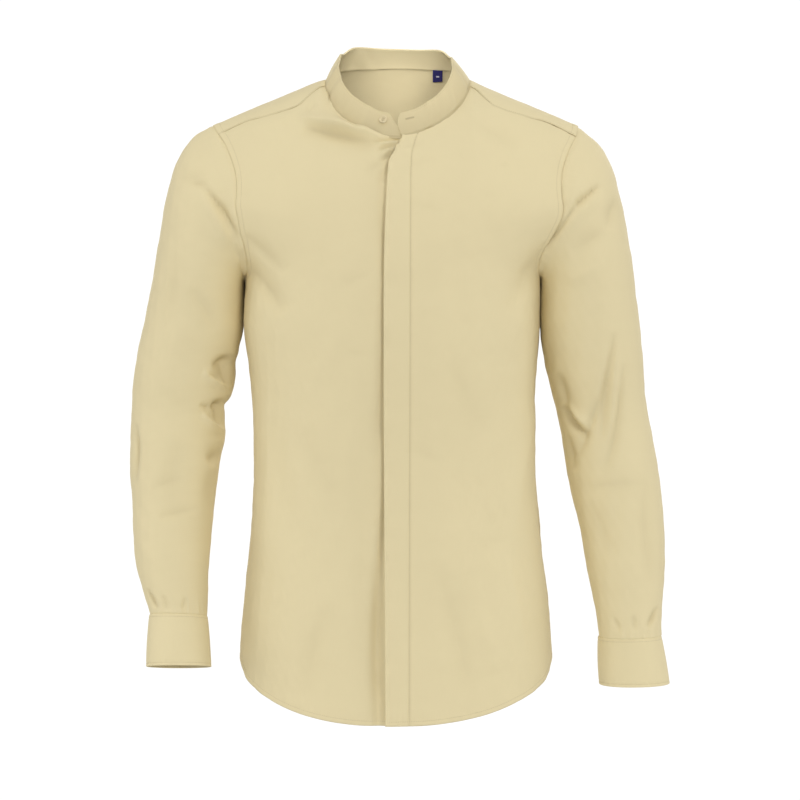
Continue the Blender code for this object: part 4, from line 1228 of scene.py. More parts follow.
# ------------------------------------------------------------------------------ body pieces

def fly_edge(height: Array) -> Array:
    """Where the upper front's folded edge runs at a height."""
    return smooth(FLY_EDGE[:, 0], FLY_EDGE[:, 1], height)


def fly_stitch(height: Array) -> Array:
    """Where the stitch line that holds the fly runs at a height."""
    return smooth(FLY_STITCH_LINE[:, 0], FLY_STITCH_LINE[:, 1], height)


def below_chest(angles: Array, lowest: float, rows: int) -> Array:
    """Places from the hem up to the chest, one column for each angle."""
    share = steps(rows, end=False)[:, None]
    rises = FORM.hem(angles, lowest) * (1.0 - share)
    return np.stack([np.broadcast_to(angles, rises.shape), rises], -1)


@dataclass
class Fronts:
    """Left front over right front, with the hidden buttonhole layer between them."""

    fly_shares: tuple[float, ...] = (*np.linspace(0.0, 0.94, 19).tolist(), 0.97, 1.0)
    neck_columns: int = 46
    seam_columns: int = 66
    lead_columns: int = 11
    high_rows: int = 96
    low_rows: int = 150
    hem_front: float = -0.761
    stack: float = 0.0027
    stack_left: tuple[float, float] = (0.032, 0.045)
    stack_right: tuple[float, float] = (0.020, 0.036)
    neck_stack: float = 0.38
    stack_top: float = -0.078
    stack_fade: float = 0.022
    underlap: float = 0.024
    underlap_top: float = -0.0750
    neck_starts: dict[int, float] = field(default_factory=lambda: {-1: 0.0075, 1: 0.0066})
    stitch_end: float = 0.0223
    roll: float = 0.0012
    roll_at: float = 0.0014
    roll_width: float = 0.0018
    edge_dip: float = 0.0004
    dip_width: float = 0.0008
    edge_wave: float = 0.0010
    wave_pitch: float = 0.060
    wave_width: float = 0.010
    calm_width: float = 0.007
    calm_start: float = 0.035
    calm_fade: float = 0.020
    band_top: float = -0.102
    band_gap: float = 0.004
    band_inset: float = 0.0015
    band_width: float = 0.030
    band_out: float = -0.0009
    band_wave: float = 0.0002
    band_rows: int = 180
    band_columns: int = 9

    def lift(self, x: Array, z: Array) -> Array:
        """Share of the fly stack: whole over the fly, fading to both sides and at the neck."""
        left = 1.0 - ease((x - self.stack_left[0]) / self.stack_left[1])
        right = 1.0 - ease((-x - self.stack_right[0]) / self.stack_right[1])
        down = ease((self.stack_top - z) / self.stack_fade)
        return left * right * (self.neck_stack + (1.0 - self.neck_stack) * down)

    def shape(self, places: Array, side: int, extra: Array | float = 0.0) -> Array:
        """Points of a front: the left one stands out over the fly, the right one sinks."""
        bare = FORM.cloth(places)
        lift = side * self.stack * self.lift(bare[..., 0], bare[..., 2])
        return FORM.cloth(places, lift + extra)

    def edges(self, side: int) -> list[Callable[[Array], Array]]:
        """Where the centre edge, and on the left the stitch line, run at a height."""
        if side > 0:
            return [fly_edge, fly_stitch]
        return [lambda height: np.full(np.shape(height), self.underlap)]

    def top(self, side: int) -> tuple[Array, list[int]]:
        """Upper line of a front: neck, then yoke seam.

        Args:
            side: +1 for the wearer's left, -1 for the right.

        Returns:
            Places along it, and the columns where its pieces end.
        """
        neck = FORM.neck_front(side, self.neck_starts[side])
        t = np.linspace(0.0, 1.0, self.neck_columns)
        seam = follow(FORM.yoke_seam_front(side), steps(self.seam_columns, start=False))
        if side < 0:
            start = FORM.find(self.underlap, self.underlap_top)[None]
            line = follow(neck, 0.55 * t + 0.45 * t**2)
            share = np.linspace(0.0, 1.0, self.lead_columns, endpoint=False)[:, None]
            lead = start + (line[:1] - start) * share
            return (np.concatenate([lead, line[:-1], seam]),
                    [0, self.lead_columns + self.neck_columns - 1])
        fine = np.linspace(0.0, 1.0, 200)
        across = FORM.cloth(follow(neck, fine))[:, 0]
        split = np.interp(self.stitch_end, across, fine)
        fly = np.array(self.fly_shares)
        share = np.concatenate([split * fly, split + (1.0 - split) * (0.7 * t + 0.3 * t**2)[1:]])
        line = follow(neck, share)
        return np.concatenate([line[:-1], seam]), [len(fly) - 1, len(share) - 1]

    def uprights(self, side: int, tops: Array, v: Array) -> list[Array]:
        """Upright lines above the chest that follow the edges.

        Args:
            side: +1 for the wearer's left, -1 for the right.
            tops: the place where each of them ends.
            v: share of the way up of each row.

        Returns:
            Places of each line.
        """
        lines = []
        for top, reach in zip(tops, self.edges(side)):
            heights = CHEST + (FORM.cloth(top)[2] - CHEST) * v
            line = FORM.find(reach(heights), heights)
            line[-1] = top
            lines.append(line)
        return lines

    def below(self, side: int, marks: list[int], angles: Array, shares: Array) -> Array:
        """Places below the chest, shifted so that the edges keep their place.

        Args:
            side: +1 for the wearer's left, -1 for the right.
            marks: columns of the upright lines.
            angles: angle of each column.
            shares: number of the strip that each column lies in, plus its share across it.

        Returns:
            The grid from the hem up to the chest.
        """
        low = below_chest(angles, self.hem_front, self.low_rows)
        shifts = []
        for mark, reach in zip(marks, self.edges(side)):
            heights = FORM.cloth(low[:, mark])[:, 2]
            shifts.append(FORM.find(reach(heights), heights)[:, 0] - low[:, mark, 0])
        shifts.append(np.zeros(self.low_rows))
        low[..., 0] += between(shares, np.arange(len(shifts)), np.stack(shifts)).T
        return low

    def places(self, side: int) -> Array:
        """Grid of places of one front, from its centre edge to the side and armhole.

        Above the chest each strip between two upright lines is a grid of its own. Below it the
        columns run straight down, all but those along the edges.
        """
        top, ends = self.top(side)
        marks = [0, ends[0], len(top) - 1] if side > 0 else [0, len(top) - 1]
        t = steps(self.high_rows, start=False)
        v = 1.0 - 0.6 * (1.0 - t) - 0.4 * (1.0 - t) ** 2
        hole = follow(FORM.armhole(side, "front", 0.0, FORM.yoke_end), v)
        hole[0, 0] = -np.pi if side < 0 else 0.0
        top[-1] = hole[-1]
        lines = [*self.uprights(side, top[marks], v), hole]
        blocks, angles, shares = [], [], []
        for number, (first, last) in enumerate(zip(marks[:-1], marks[1:])):
            fly = side > 0 and number == 0
            u = np.array(self.fly_shares) if fly else np.linspace(0.0, 1.0, last - first + 1)
            near, far = lines[number], lines[number + 1]
            bottom = np.stack([near[0, 0] + (far[0, 0] - near[0, 0]) * u, np.zeros(len(u))], -1)
            block = coons(bottom, top[first:last + 1], near, far, u, v)
            skip = min(number, 1)
            blocks.append(block[:, skip:])
            angles.append(bottom[skip:, 0])
            shares.append(number + u[skip:])
        low = self.below(side, marks, np.concatenate(angles), np.concatenate(shares))
        return np.concatenate([low[:-1], np.concatenate(blocks, axis=1)])

    def folded_edge(self, flat: Array) -> Array:
        """Height along the folded edge: a rounded roll, a thin dip and a slow wave."""
        away, along = beside_line(flat, flat[:, 0])
        wave = self.edge_wave * ripple(along, 2.0, self.wave_pitch) * bell(away, self.wave_width)
        return (self.roll * bell(away - self.roll_at, self.roll_width)
                - self.edge_dip * bell(away, self.dip_width) + wave)

    def panel(self, side: int) -> tuple[Panel, Sewing]:
        """One front with its creases and seams.

        Args:
            side: +1 for the wearer's left, -1 for the right.

        Returns:
            The panel and its stitches.
        """
        name = "front_left" if side > 0 else "front_right"
        places, (stitch, neck_end) = self.places(side), self.top(side)[1]
        flat = self.shape(places, side)
        x, z = flat[..., 0], flat[..., 2]
        high = BODY_DEPTH * crease_field(x, z, FRONT_CREASES)
        shade = painted_fold_shade(high)
        if side < 0:
            away, _ = beside_line(flat, flat[-1, :neck_end + 1])
            calm = ease((-x - self.calm_start) / self.calm_fade)
            high *= 1.0 - bell(away, self.calm_width) * calm
        high += unevenness(places[..., 0] * RADIUS, z, 0.7 + side)
        high += self.folded_edge(flat) if side > 0 else crease_field(x, z, UNDER_CREASES)
        first, gathers = self.high_rows, NECK if side > 0 else GATHERED
        seams = [(flat[-first:, -1], FELLED, 1.0 + side), (flat[-1, neck_end:], PLAIN, 2.0 + side),
                 (flat[-1, :neck_end + 1], gathers, 3.0 + side),
                 (flat[:-first, -1], PLAIN, 4.0 + side), (flat[0], HEM, 5.0 + side)]
        if side > 0:
            seams.append((flat[:, stitch], FLY_STITCH, 6.0 + side))
        high, shade = press_seams(flat, seams, high, shade)
        panel = Panel(name, self.shape(places, side, high), wall=0.0011, flip=side < 0,
                      rim=0.0004, weld=0.02 * MM, shade=shade)
        sewing, grid = Sewing(name + "_stitching"), panel.points
        sewing.beside(panel, grid[-first:, -1], FELLED.stitch_at, 1, True, slice(-first, -3))
        sewing.beside(panel, grid[0], HEM.stitch_at, 0, False, slice(3, -3))
        if side > 0:
            sewing.row(grid[4:-3, stitch], panel.normals()[4:-3, stitch])
        return panel, sewing

    def band(self) -> Panel:
        """Buttonhole layer hidden under the upper front."""
        levels = np.linspace(self.hem_front + self.band_gap, self.band_top, self.band_rows)
        start = fly_edge(levels) + self.band_inset
        across = start[:, None] + np.linspace(0.0, self.band_width, self.band_columns)
        where = FORM.find(across, np.broadcast_to(levels[:, None], across.shape))
        wave = self.band_wave * ripple(levels, 1.0, 0.03)[:, None]
        return Panel("fly_band", FORM.cloth(where, self.band_out + wave * np.ones_like(across)),
                     wall=0.0007, rim=0.0002)


@dataclass
class Back:
    """Back panel from side seam to side seam, up to the yoke."""

    columns: int = 140
    high_rows: int = 92
    low_rows: int = 130
    fade: float = 3.0
    hem_back: float = -0.780

    def places(self) -> Array:
        """Grid of places from the hem up to the yoke seam, left side to right side."""
        u = steps(self.columns)
        v = steps(self.high_rows, start=False)
        left_seam, right_seam = FORM.yoke_seam_back(1), FORM.yoke_seam_back(-1)
        top = follow(np.concatenate([left_seam[::-1], right_seam[1:]]), u)
        left, right = (follow(FORM.armhole(side, "back", 0.0, FORM.yoke_back_end), v) for side in (1, -1))
        left[0, 0], right[0, 0] = 0.0, np.pi
        left[-1], right[-1] = top[0], top[-1]
        bottom = np.stack([np.pi * u, np.zeros(len(u))], -1)
        high = coons(bottom, top, left, right, u, v, self.fade)
        low = below_chest(bottom[:, 0], self.hem_back, self.low_rows)
        return np.concatenate([low[:-1], high])

    def panel(self) -> tuple[Panel, Sewing]:
        """The back with its creases and seams."""
        places, first = self.places(), self.high_rows
        flat = FORM.cloth(places)
        high = BODY_DEPTH * crease_field(flat[..., 0], flat[..., 2], BACK_CREASES)
        shade = painted_fold_shade(high)
        high += unevenness(places[..., 0] * RADIUS, flat[..., 2], 2.9, 0.7 * MM)
        seams = [(flat[-first:, 0], FELLED, 1.5), (flat[-first:, -1], FELLED, 2.5),
                 (flat[-1], PLAIN, 3.5), (flat[:-first, 0], SIDE, 4.5),
                 (flat[:-first, -1], SIDE, 5.5), (flat[0], HEM, 6.5)]
        high, shade = press_seams(flat, seams, high, shade)
        panel = Panel("back", FORM.cloth(places, high), wall=0.0011, rim=0.0004, shade=shade)
        sewing, grid = Sewing("back_stitching"), panel.points
        for col, last in ((0, False), (-1, True)):
            sewing.beside(panel, grid[-first:, col], FELLED.stitch_at, 1, last,
                          slice(-first, -3))
            sewing.beside(panel, grid[:-first, col], SIDE.stitch_at, 1, last,
                          slice(8, -first))
        sewing.beside(panel, grid[0], HEM.stitch_at, 0, False, slice(3, -3))
        return panel, sewing


def past_ridge(places: Array, back: bool) -> Array:
    """Places of one side of the shoulder, whose rise goes on past the ridge for the back."""
    rise = 2.0 * RIDGE_RISE - places[:, 1] if back else places[:, 1]
    return np.stack([np.abs(places[:, 0]), rise], -1)


@dataclass
class Yoke:
    """Yoke over both shoulders, its neck side cut to the neck seam."""

    seam_columns: int = 56
    nape_columns: int = 52
    rows: int = 76

    def half(self, side: int) -> Array:
        """Places of one half, from the armhole end to the middle of the back."""
        seam = follow(past_ridge(FORM.yoke_seam_front(side)[::-1], False),
                      steps(self.seam_columns, end=False))
        nape = follow(FORM.neck_nape(side), np.linspace(0.0, 1.0, self.nape_columns))
        inner = np.concatenate([seam, nape[1:]])
        u, v = np.linspace(0.0, 1.0, len(inner)), steps(self.rows)
        outer = follow(past_ridge(FORM.yoke_seam_back(side)[::-1], True), u)
        ahead = past_ridge(FORM.armhole(side, "front", FORM.yoke_end), False)
        behind = past_ridge(FORM.armhole(side, "back", FORM.yoke_back_end)[::-1], True)
        end = follow(np.concatenate([ahead, behind[1:]]), v)
        end[0], end[-1] = inner[0], outer[0]
        middle = inner[-1] + (outer[-1] - inner[-1]) * v[:, None]
        return coons(inner, outer, end, middle, u, v)

    def panel(self) -> tuple[Panel, Sewing]:
        """The yoke with its creases and seams."""
        past = np.concatenate([self.half(1), self.half(-1)[:, ::-1][:, 1:]], axis=1)
        places = FORM.over(past)
        flat = FORM.cloth(places)
        x, z = flat[..., 0], flat[..., 2]
        ahead = ease((0.02 - flat[..., 1]) / 0.04)
        high = BODY_DEPTH * ahead * crease_field(x, z, FRONT_CREASES)
        high += BODY_DEPTH * (1.0 - ahead) * crease_field(x, z, BACK_CREASES)
        shade = painted_fold_shade(high)
        high += unevenness(x, past[..., 1], 4.2, 0.35 * MM)
        seam = self.seam_columns
        seams = [(flat[0, :seam], YOKE_UPPER, 1.2), (flat[0, -seam:], YOKE_UPPER, 2.2),
                 (flat[0, seam - 1:1 - seam], NECK, 3.2), (flat[-1], YOKE_UPPER, 4.2),
                 (flat[:, 0], FELLED, 5.2), (flat[:, -1], FELLED, 6.2)]
        high, shade = press_seams(flat, seams, high, shade)
        panel = Panel("yoke", FORM.cloth(places, high), wall=0.0010, flip=True, shade=shade)
        sewing, grid, gap = Sewing("yoke_stitching"), panel.points, YOKE_UPPER.stitch_at
        sewing.beside(panel, grid[0, :seam], gap, 0, False, slice(3, seam - 3))
        sewing.beside(panel, grid[0, -seam:], gap, 0, False, slice(3 - seam, -3))
        sewing.beside(panel, grid[-1], gap, 0, True, slice(3, -3))
        for col, last in ((0, False), (-1, True)):
            sewing.beside(panel, grid[:, col], FELLED.stitch_at, 1, last, slice(3, -3))
        return panel, sewing


# -------------------------------------------------------------------------- sleeves, cuffs

class Side(NamedTuple):
    """Names and ring tables of one arm."""

    sign: int
    name: str
    rings: Array
    cuff: Array


# Each ring: outer side's x and z, inner side's x and z, middle's y, depth, pitch in degrees.
SLEEVE_LEFT = table(
    (234.5, -66.5, 174.2, -240, 2, 74, 0), (248, -81.5, 174.2, -243, 2, 72, 0),
    (258.5, -103, 174.1, -247, 2, 70, 0), (266.5, -129, 174, -252.5, 2, 68, 0),
    (273.5, -158, 173.8, -260, 2, 66, 0), (279, -190, 173.5, -270, 2, 64, 0),
    (284, -222, 173.3, -283, 2, 62.5, 0), (288.5, -256, 173.6, -299, 3, 61, 0),
    (293.5, -292, 175.2, -317, 5, 59, 0), (296.3, -328, 179.5, -340, 8, 57, 0),
    (298.2, -362, 186, -368, 10, 55, 0), (301.8, -393, 192.8, -396, 12, 53, 0),
    (307.4, -425, 198.6, -427, 11, 52, 0), (313.8, -464, 205.4, -465, 9, 51, 0),
    (319.8, -504, 213.8, -504, 4, 49, 0), (322.2, -544, 222.3, -544, -3, 46.5, 0),
    (321.5, -584, 229, -584, -11, 43.5, 0), (319.2, -616, 235, -616, -17, 40.5, 0),
    (317, -642, 238.8, -643, -22, 38.5, -1), plain=1)
SLEEVE_RIGHT = table(
    (-240.5, -65, -183, -240, 2, 74, 0), (-254, -81, -183.1, -243, 2, 72, 0),
    (-266, -103, -183.2, -247, 2, 70, 0), (-273.5, -129, -183.2, -252.5, 2, 68, 0),
    (-279.3, -158, -183.3, -260, 2, 66, 0), (-284, -190, -183.3, -270, 2, 64, 0),
    (-289, -222, -183.3, -283, 2, 62.5, 0), (-294.5, -256, -184.2, -299, 3, 61, 0),
    (-302.2, -292, -188, -317, 5, 59, 0), (-310.5, -326, -191, -336, 8, 57.5, 0),
    (-315.2, -360, -194.5, -364, 10, 56, 0), (-317.2, -392, -205, -394, 12, 54, 0),
    (-319.4, -425, -206.6, -426, 9, 53, 0), (-320, -462, -211.8, -462, 4, 51.5, 1),
    (-316.6, -502, -217.5, -502, -4, 49, 2), (-314, -542, -221.3, -542, -14, 46.5, 4),
    (-310, -578, -222.6, -578, -25, 43, 6), (-303, -604, -223.2, -604, -33, 39.5, 7), plain=1)
CUFF_LEFT = table(
    (316, -662.5, 240.4, -664, -26, 36.5, -2), (319, -681, 240.6, -682.6, -28, 37.2, -2),
    (322.2, -700.5, 240.9, -701.4, -31, 38, -2), (325.2, -718.6, 241.4, -720, -34, 38.8, -2),
    plain=1)
CUFF_RIGHT = table(
    (-292.5, -637.2, -223.2, -638.7, -42, 35, 8), (-293.2, -657, -221.4, -657.6, -48, 36, 8),
    (-294, -677, -219.6, -677.6, -54, 36.8, 8), (-294.6, -697.4, -217.6, -697.4, -60, 37.5, 8),
    plain=1)
SIDES = (Side(1, "left", SLEEVE_LEFT, CUFF_LEFT), Side(-1, "right", SLEEVE_RIGHT, CUFF_RIGHT))
RING_ROUNDNESS = 2.15
RING_RISE = np.array([0.0, 1.0, 0.0, 1.0, 0.0, 0.0, 0.0])    # what a higher ring adds


def ring_points(rings: Array, angles: Array, out: Array | float = 0.0) -> Array:
    """Points of sleeve rings: rounded ovals, angle 0 on the outer side and 90 at the front.

    Args:
        rings: one ring a row, as in the sleeve tables.
        angles: places round the ring.
        out: how far the ring is widened.

    Returns:
        Rings by angles by 3.
    """
    outer = rings[:, [0, 4, 1]]
    inner = rings[:, [2, 4, 3]]
    centre, across = (outer + inner) / 2, (outer - inner) / 2
    across = across * (1.0 + out / np.linalg.norm(across, axis=1, keepdims=True))
    pitch = np.radians(rings[:, 6])
    forward = np.stack([np.zeros(len(rings)), -np.cos(pitch), np.sin(pitch)], -1)
    forward = forward * (rings[:, 5:6] + out)
    cosine = power(np.cos(angles), 2.0 / RING_ROUNDNESS)[None, :, None]
    sine = power(np.sin(angles), 2.0 / RING_ROUNDNESS)[None, :, None]
    return centre[:, None] + cosine * across[:, None] + sine * forward[:, None]


def rings_between(table: Array, known: Array, at: Array) -> Array:
    """Rings at positions, each size running smoothly through the table's rings."""
    return np.stack([smooth(known, column, at) for column in table.T], -1)


@dataclass
class Sleeve:
    """One sleeve from the armhole to the cuff, with the placket strip on its back."""

    side: Side
    columns: int = 168
    spacing: float = 0.0027
    fade_rings: int = 6
    cuff_gap: float = 0.0008
    in_cuff: float = 0.004
    in_cuff_narrower: float = 0.0019
    tuck: float = 0.003
    tuck_under: float = 0.0004
    under: float = 0.0012
    turn_width: float = 0.35
    thin: float = 0.42
    round_arm: float = 0.06
    cap_pucker: float = 0.0004
    cap_pitch: float = 0.013
    cap_reach: float = 1.1
    gathers: float = 0.0009
    gather_pitch: float = 0.021
    gather_dip: float = 0.0005
    gather_reach: float = 0.45
    strip_angles: tuple[float, float] = (np.radians(270.0), np.radians(306.0))
    strip_top: float = 3.7
    strip_peak: float = 0.32
    strip_out: float = 0.0013
    strip_rows: int = 90
    strip_columns: int = 19

    def loop(self) -> tuple[Array, Array]:
        """Closed armhole line and the body's normals there: tip, front, underarm, back."""
        share = np.linspace(0.0, 1.0, self.columns // 2 + 1)
        lines = []
        for part in ("front", "back"):
            places = FORM.armhole(self.side.sign, part)
            points = FORM.cloth(places)
            normal = (FORM.cloth(places, MM) - points) / MM
            both = np.concatenate([points, normal], axis=1)
            if part == "front":
                both = both[::-1]
            lines.append(follow(both, share, (1.0, 1.0, 1.0, 0.0, 0.0, 0.0)))
        both = np.concatenate([lines[0], lines[1][1:-1]])
        return both[:, :3], both[:, 3:]

    def tucked(self, loop: Array, normal: Array, inner: Array) -> Array:
        """First ring, tucked in under the body cloth.

        Args:
            loop: the armhole line.
            normal: the body's normals along it.
            inner: a ring further down the sleeve, which tells inward from outward.

        Returns:
            Points of the ring.
        """
        way = np.roll(loop, -1, axis=0) - np.roll(loop, 1, axis=0)
        inward = unit(np.cross(normal, way))
        turned = ((inner - loop) * inward).sum(axis=1, keepdims=True) > 0.0
        inward = np.where(turned, -inward, inward)
        return loop + inward * self.tuck - normal * (self.under + self.tuck_under)

    def grid(self) -> tuple[Array, Array, Array]:
        """Smooth sleeve: the armhole line, then rings that take over from its shape.

        Ring sizes run smoothly from ring to ring. What the armhole line differs from an oval
        fades with the square of the distance over the first rings.

        Returns:
            Points, ring number of each row, and the angles round a ring.
        """
        angles = np.linspace(0.0, 2.0 * np.pi, self.columns, endpoint=False)
        loop, normal = self.loop()
        tip, low = loop[0], loop[self.columns // 2]
        near, far = loop[:, 1].min(), loop[:, 1].max()
        first = np.array([tip[0], tip[2], low[0], low[2], (far + near) / 2, (far - near) / 2,
                          0.0])
        last = self.side.cuff[0] + self.cuff_gap * RING_RISE
        table = np.vstack([first, self.side.rings, last])
        extra = loop - ring_points(first[None], angles)[0]
        key = np.arange(len(table), dtype=float)
        along = lengths((table[:, [0, 1]] + table[:, [2, 3]]) / 2)
        number = np.interp(steps(int(along[-1] / self.spacing)) * along[-1], along, key)
        left = 1.0 - np.minimum(number / self.fade_rings, 1.0)
        points = ring_points(rings_between(table, key, number), angles)
        points += extra[None] * (left**2)[:, None, None]
        points[0] = loop - normal * self.under
        points[1] = points[1] - normal * self.under * 0.5
        start = self.tucked(loop, normal, points[3])
        end = ring_points((last - self.in_cuff * RING_RISE)[None], angles,
                          -self.in_cuff_narrower)
        points = np.concatenate([start[None], points, end])
        return points, np.concatenate([[0.0], number, [key[-1]]]), angles

    def relief(self, points: Array, number: Array, angles: Array) -> tuple[Array, Array]:
        """Creases of the front and of the back, gathers at the cuff and a puckered cap.

        Args:
            points: the smooth sleeve.
            number: ring number of each of its rows.
            angles: angle of each of its columns.

        Returns:
            Height, and painted shade in the crease troughs.
        """
        side, x, z, sine = self.side, points[..., 0], points[..., 2], np.sin(angles)[None, :]
        ahead = ease((sine + self.turn_width) / (2.0 * self.turn_width))
        facing = self.thin + (1.0 - self.thin) * ease((np.abs(sine) - 0.1) / 0.5)
        high = ahead * crease_field(x, z, SLEEVE_CREASES[(side.name, "front")])
        high += (1.0 - ahead) * crease_field(x, z, SLEEVE_CREASES[(side.name, "back")])
        high *= SLEEVE_DEPTH * facing
        shade = painted_fold_shade(high)
        high += unevenness(x + sine * 0.05, z, 5.0 + side.sign, 0.6 * MM)
        round_arm = angles[None, :] * self.round_arm
        cap = bell(number[:, None], self.cap_reach)
        wrist = bell(number[-1] - number[:, None], self.gather_reach)
        high += self.cap_pucker * cap * ripple(round_arm, 2.0 + side.sign, self.cap_pitch)
        high += wrist * (self.gathers * ripple(round_arm, 4.0 + side.sign, self.gather_pitch)
                         - self.gather_dip)
        high[:2], high[-1] = 0.0, 0.0
        return high, shade

    def panels(self) -> tuple[Panel, Panel, Sewing]:
        """Sleeve and placket strip.

        Returns:
            The sleeve, the strip and the strip's stitches.
        """
        points, number, angles = self.grid()
        high, shade = self.relief(points, number, angles)
        panel = Panel("sleeve_" + self.side.name, points, wall=0.0009, closed=True,
                      flip=self.side.sign < 0, shade=shade)
        panel.push(high)
        return panel, *self.strip(panel, number, angles)

    def strip(self, panel: Panel, number: Array, angles: Array) -> tuple[Panel, Sewing]:
        """Placket strip lying on the back of the sleeve, with a pointed top.

        Args:
            panel: the sleeve.
            number: ring number of each of its rows.
            angles: angle of each of its columns.

        Returns:
            The strip and its stitches.
        """
        side, last = self.side, number[-1]
        low, high = self.strip_angles
        across = np.linspace(0.0, 1.0, self.strip_columns)
        top = last - self.strip_top - self.strip_peak * (1.0 - np.abs(2.0 * across - 1.0))
        ring = top + (last - 0.02 - top) * steps(self.strip_rows)[:, None]
        row = np.interp(ring, number[:-1], np.arange(len(number) - 1))
        col = np.interp(low + (high - low) * across, angles, np.arange(len(angles)))
        col = np.broadcast_to(col, row.shape)
        points = (cell(panel.points, row, col)
                  + cell(panel.normals(), row, col) * self.strip_out)
        strip = Panel("sleeve_placket_" + side.name, points, wall=0.0010, flip=side.sign < 0)
        sewing, normal = Sewing("placket_stitching_" + side.name), strip.normals()
        for where in (2, -3):
            sewing.row(points[4:-4, where], normal[4:-4, where])
        sewing.row(points[4, 2:-2], normal[4, 2:-2])
        return strip, sewing


@dataclass
class Cuff:
    """One cuff, its ends lapped at the back, with its button place."""

    side: Side
    rows: int = 34
    columns: int = 190
    lap_angle: float = np.radians(273.0)
    lap: float = np.radians(30.0)
    lap_lift: float = 0.0021
    button_at: float = 0.55
    wall: float = 0.0016
    stitch_in: float = 0.0036
    depth: float = 0.058
    round_arm: float = 0.043
    swell: float = 0.0006
    wave: float = 0.0005
    wave_pitch: float = 0.045
    groove: float = 0.0004
    groove_width: float = 0.0010
    pucker: float = 0.0003
    pucker_pitch: float = 0.009
    pucker_width: float = 0.003
    edge_dip: float = 0.0006
    dip_width: float = 0.0012

    def relief(self, points: Array, turn: Array, v: Array) -> Array:
        """Height: a swell and waves between the stitch rows, and puckered grooves at them.

        Args:
            points: the smooth cuff.
            turn: angle of each column from the lap on.
            v: share of the depth of each row, as a column.

        Returns:
            Height of each point.
        """
        along, sign = turn * self.round_arm, self.side.sign
        swell = self.swell + self.wave * ripple(along, 3.0 + sign, self.wave_pitch)
        high = swell * np.sin(np.pi * v)
        for row in (0, -1):
            away = beside_line(points, points[row])[0] - self.stitch_in
            high -= self.groove * bell(away, self.groove_width)
            high += (self.pucker * ripple(along, 5.0 + row, self.pucker_pitch)
                     * bell(away, self.pucker_width))
        return high - self.edge_dip * bell(v * self.depth, self.dip_width)

    def panel(self) -> tuple[Panel, Sewing]:
        """Cuff wound once round the wrist and a lap further, swelling a little between rows."""
        side = self.side
        turn = np.linspace(0.0, 2.0 * np.pi + self.lap, self.columns)
        v = steps(self.rows)
        rings = rings_between(side.cuff, np.linspace(0.0, 1.0, len(side.cuff)), v)
        bare, wide = (ring_points(rings, self.lap_angle + turn, out)
                      for out in (0.0, self.lap_lift))
        share = ease((turn - 2.0 * np.pi + self.lap) / self.lap)[:, None]
        points = bare * (1.0 - share) + wide * share
        panel = Panel("cuff_" + side.name, points, wall=self.wall, flip=side.sign < 0,
                      rim=0.0006)
        panel.push(self.relief(points, turn, v[:, None]))
        sewing, grid = Sewing("cuff_stitching_" + side.name), panel.points
        for row, last in ((0, False), (-1, True)):
            sewing.beside(panel, grid[row], self.stitch_in, 0, last, slice(4, -4))
        sewing.beside(panel, grid[:, -1], self.stitch_in, 1, True, slice(4, -4))
        return panel, sewing

    def button_place(self, panel: Panel) -> tuple[Array, Array, Array]:
        """Middle of the lap: place, facing, and the direction round the wrist."""
        whole = 2.0 * np.pi
        col = (whole + self.lap * self.button_at) / (whole + self.lap) * (self.columns - 1)
        return panel.spot((self.rows - 1) * 0.5, col, 0.0, 1.0)


# ------------------------------------------------------------------------------ collar band

BAND_TABLE = np.array([     # share of the way round, rise of the top edge, lean inwards
    [0.00, 0.0270, 0.0100], [0.10, 0.0290, 0.0110], [0.22, 0.0290, 0.0150],
    [0.28, 0.0310, 0.0166],
    [0.33, 0.0296, 0.0180], [0.41, 0.0262, 0.0180], [0.50, 0.0218, 0.0180],
    [0.59, 0.0224, 0.0200], [0.67, 0.0256, 0.0215],
    [0.78, 0.0285, 0.0205], [0.90, 0.0290, 0.0130], [1.00, 0.0270, 0.0100]])
END_TABLE = np.array([      # share of the height, how far the left end reaches over
    [0.00, 0.0000], [0.22, 0.0024], [0.45, 0.0042], [0.75, 0.0032], [1.00, 0.0018]])
BAND_CREASES = (            # share of the way round, width, height in millimetres
    (0.055, 0.010, -1.3), (0.085, 0.010, 1.1), (0.135, 0.012, -1.2), (0.205, 0.011, -1.4),
    (0.235, 0.010, 1.3), (0.78, 0.013, -1.2), (0.855, 0.012, 1.2), (0.905, 0.010, -1.2),
    (0.935, 0.009, 1.3), (0.965, 0.010, -0.8))


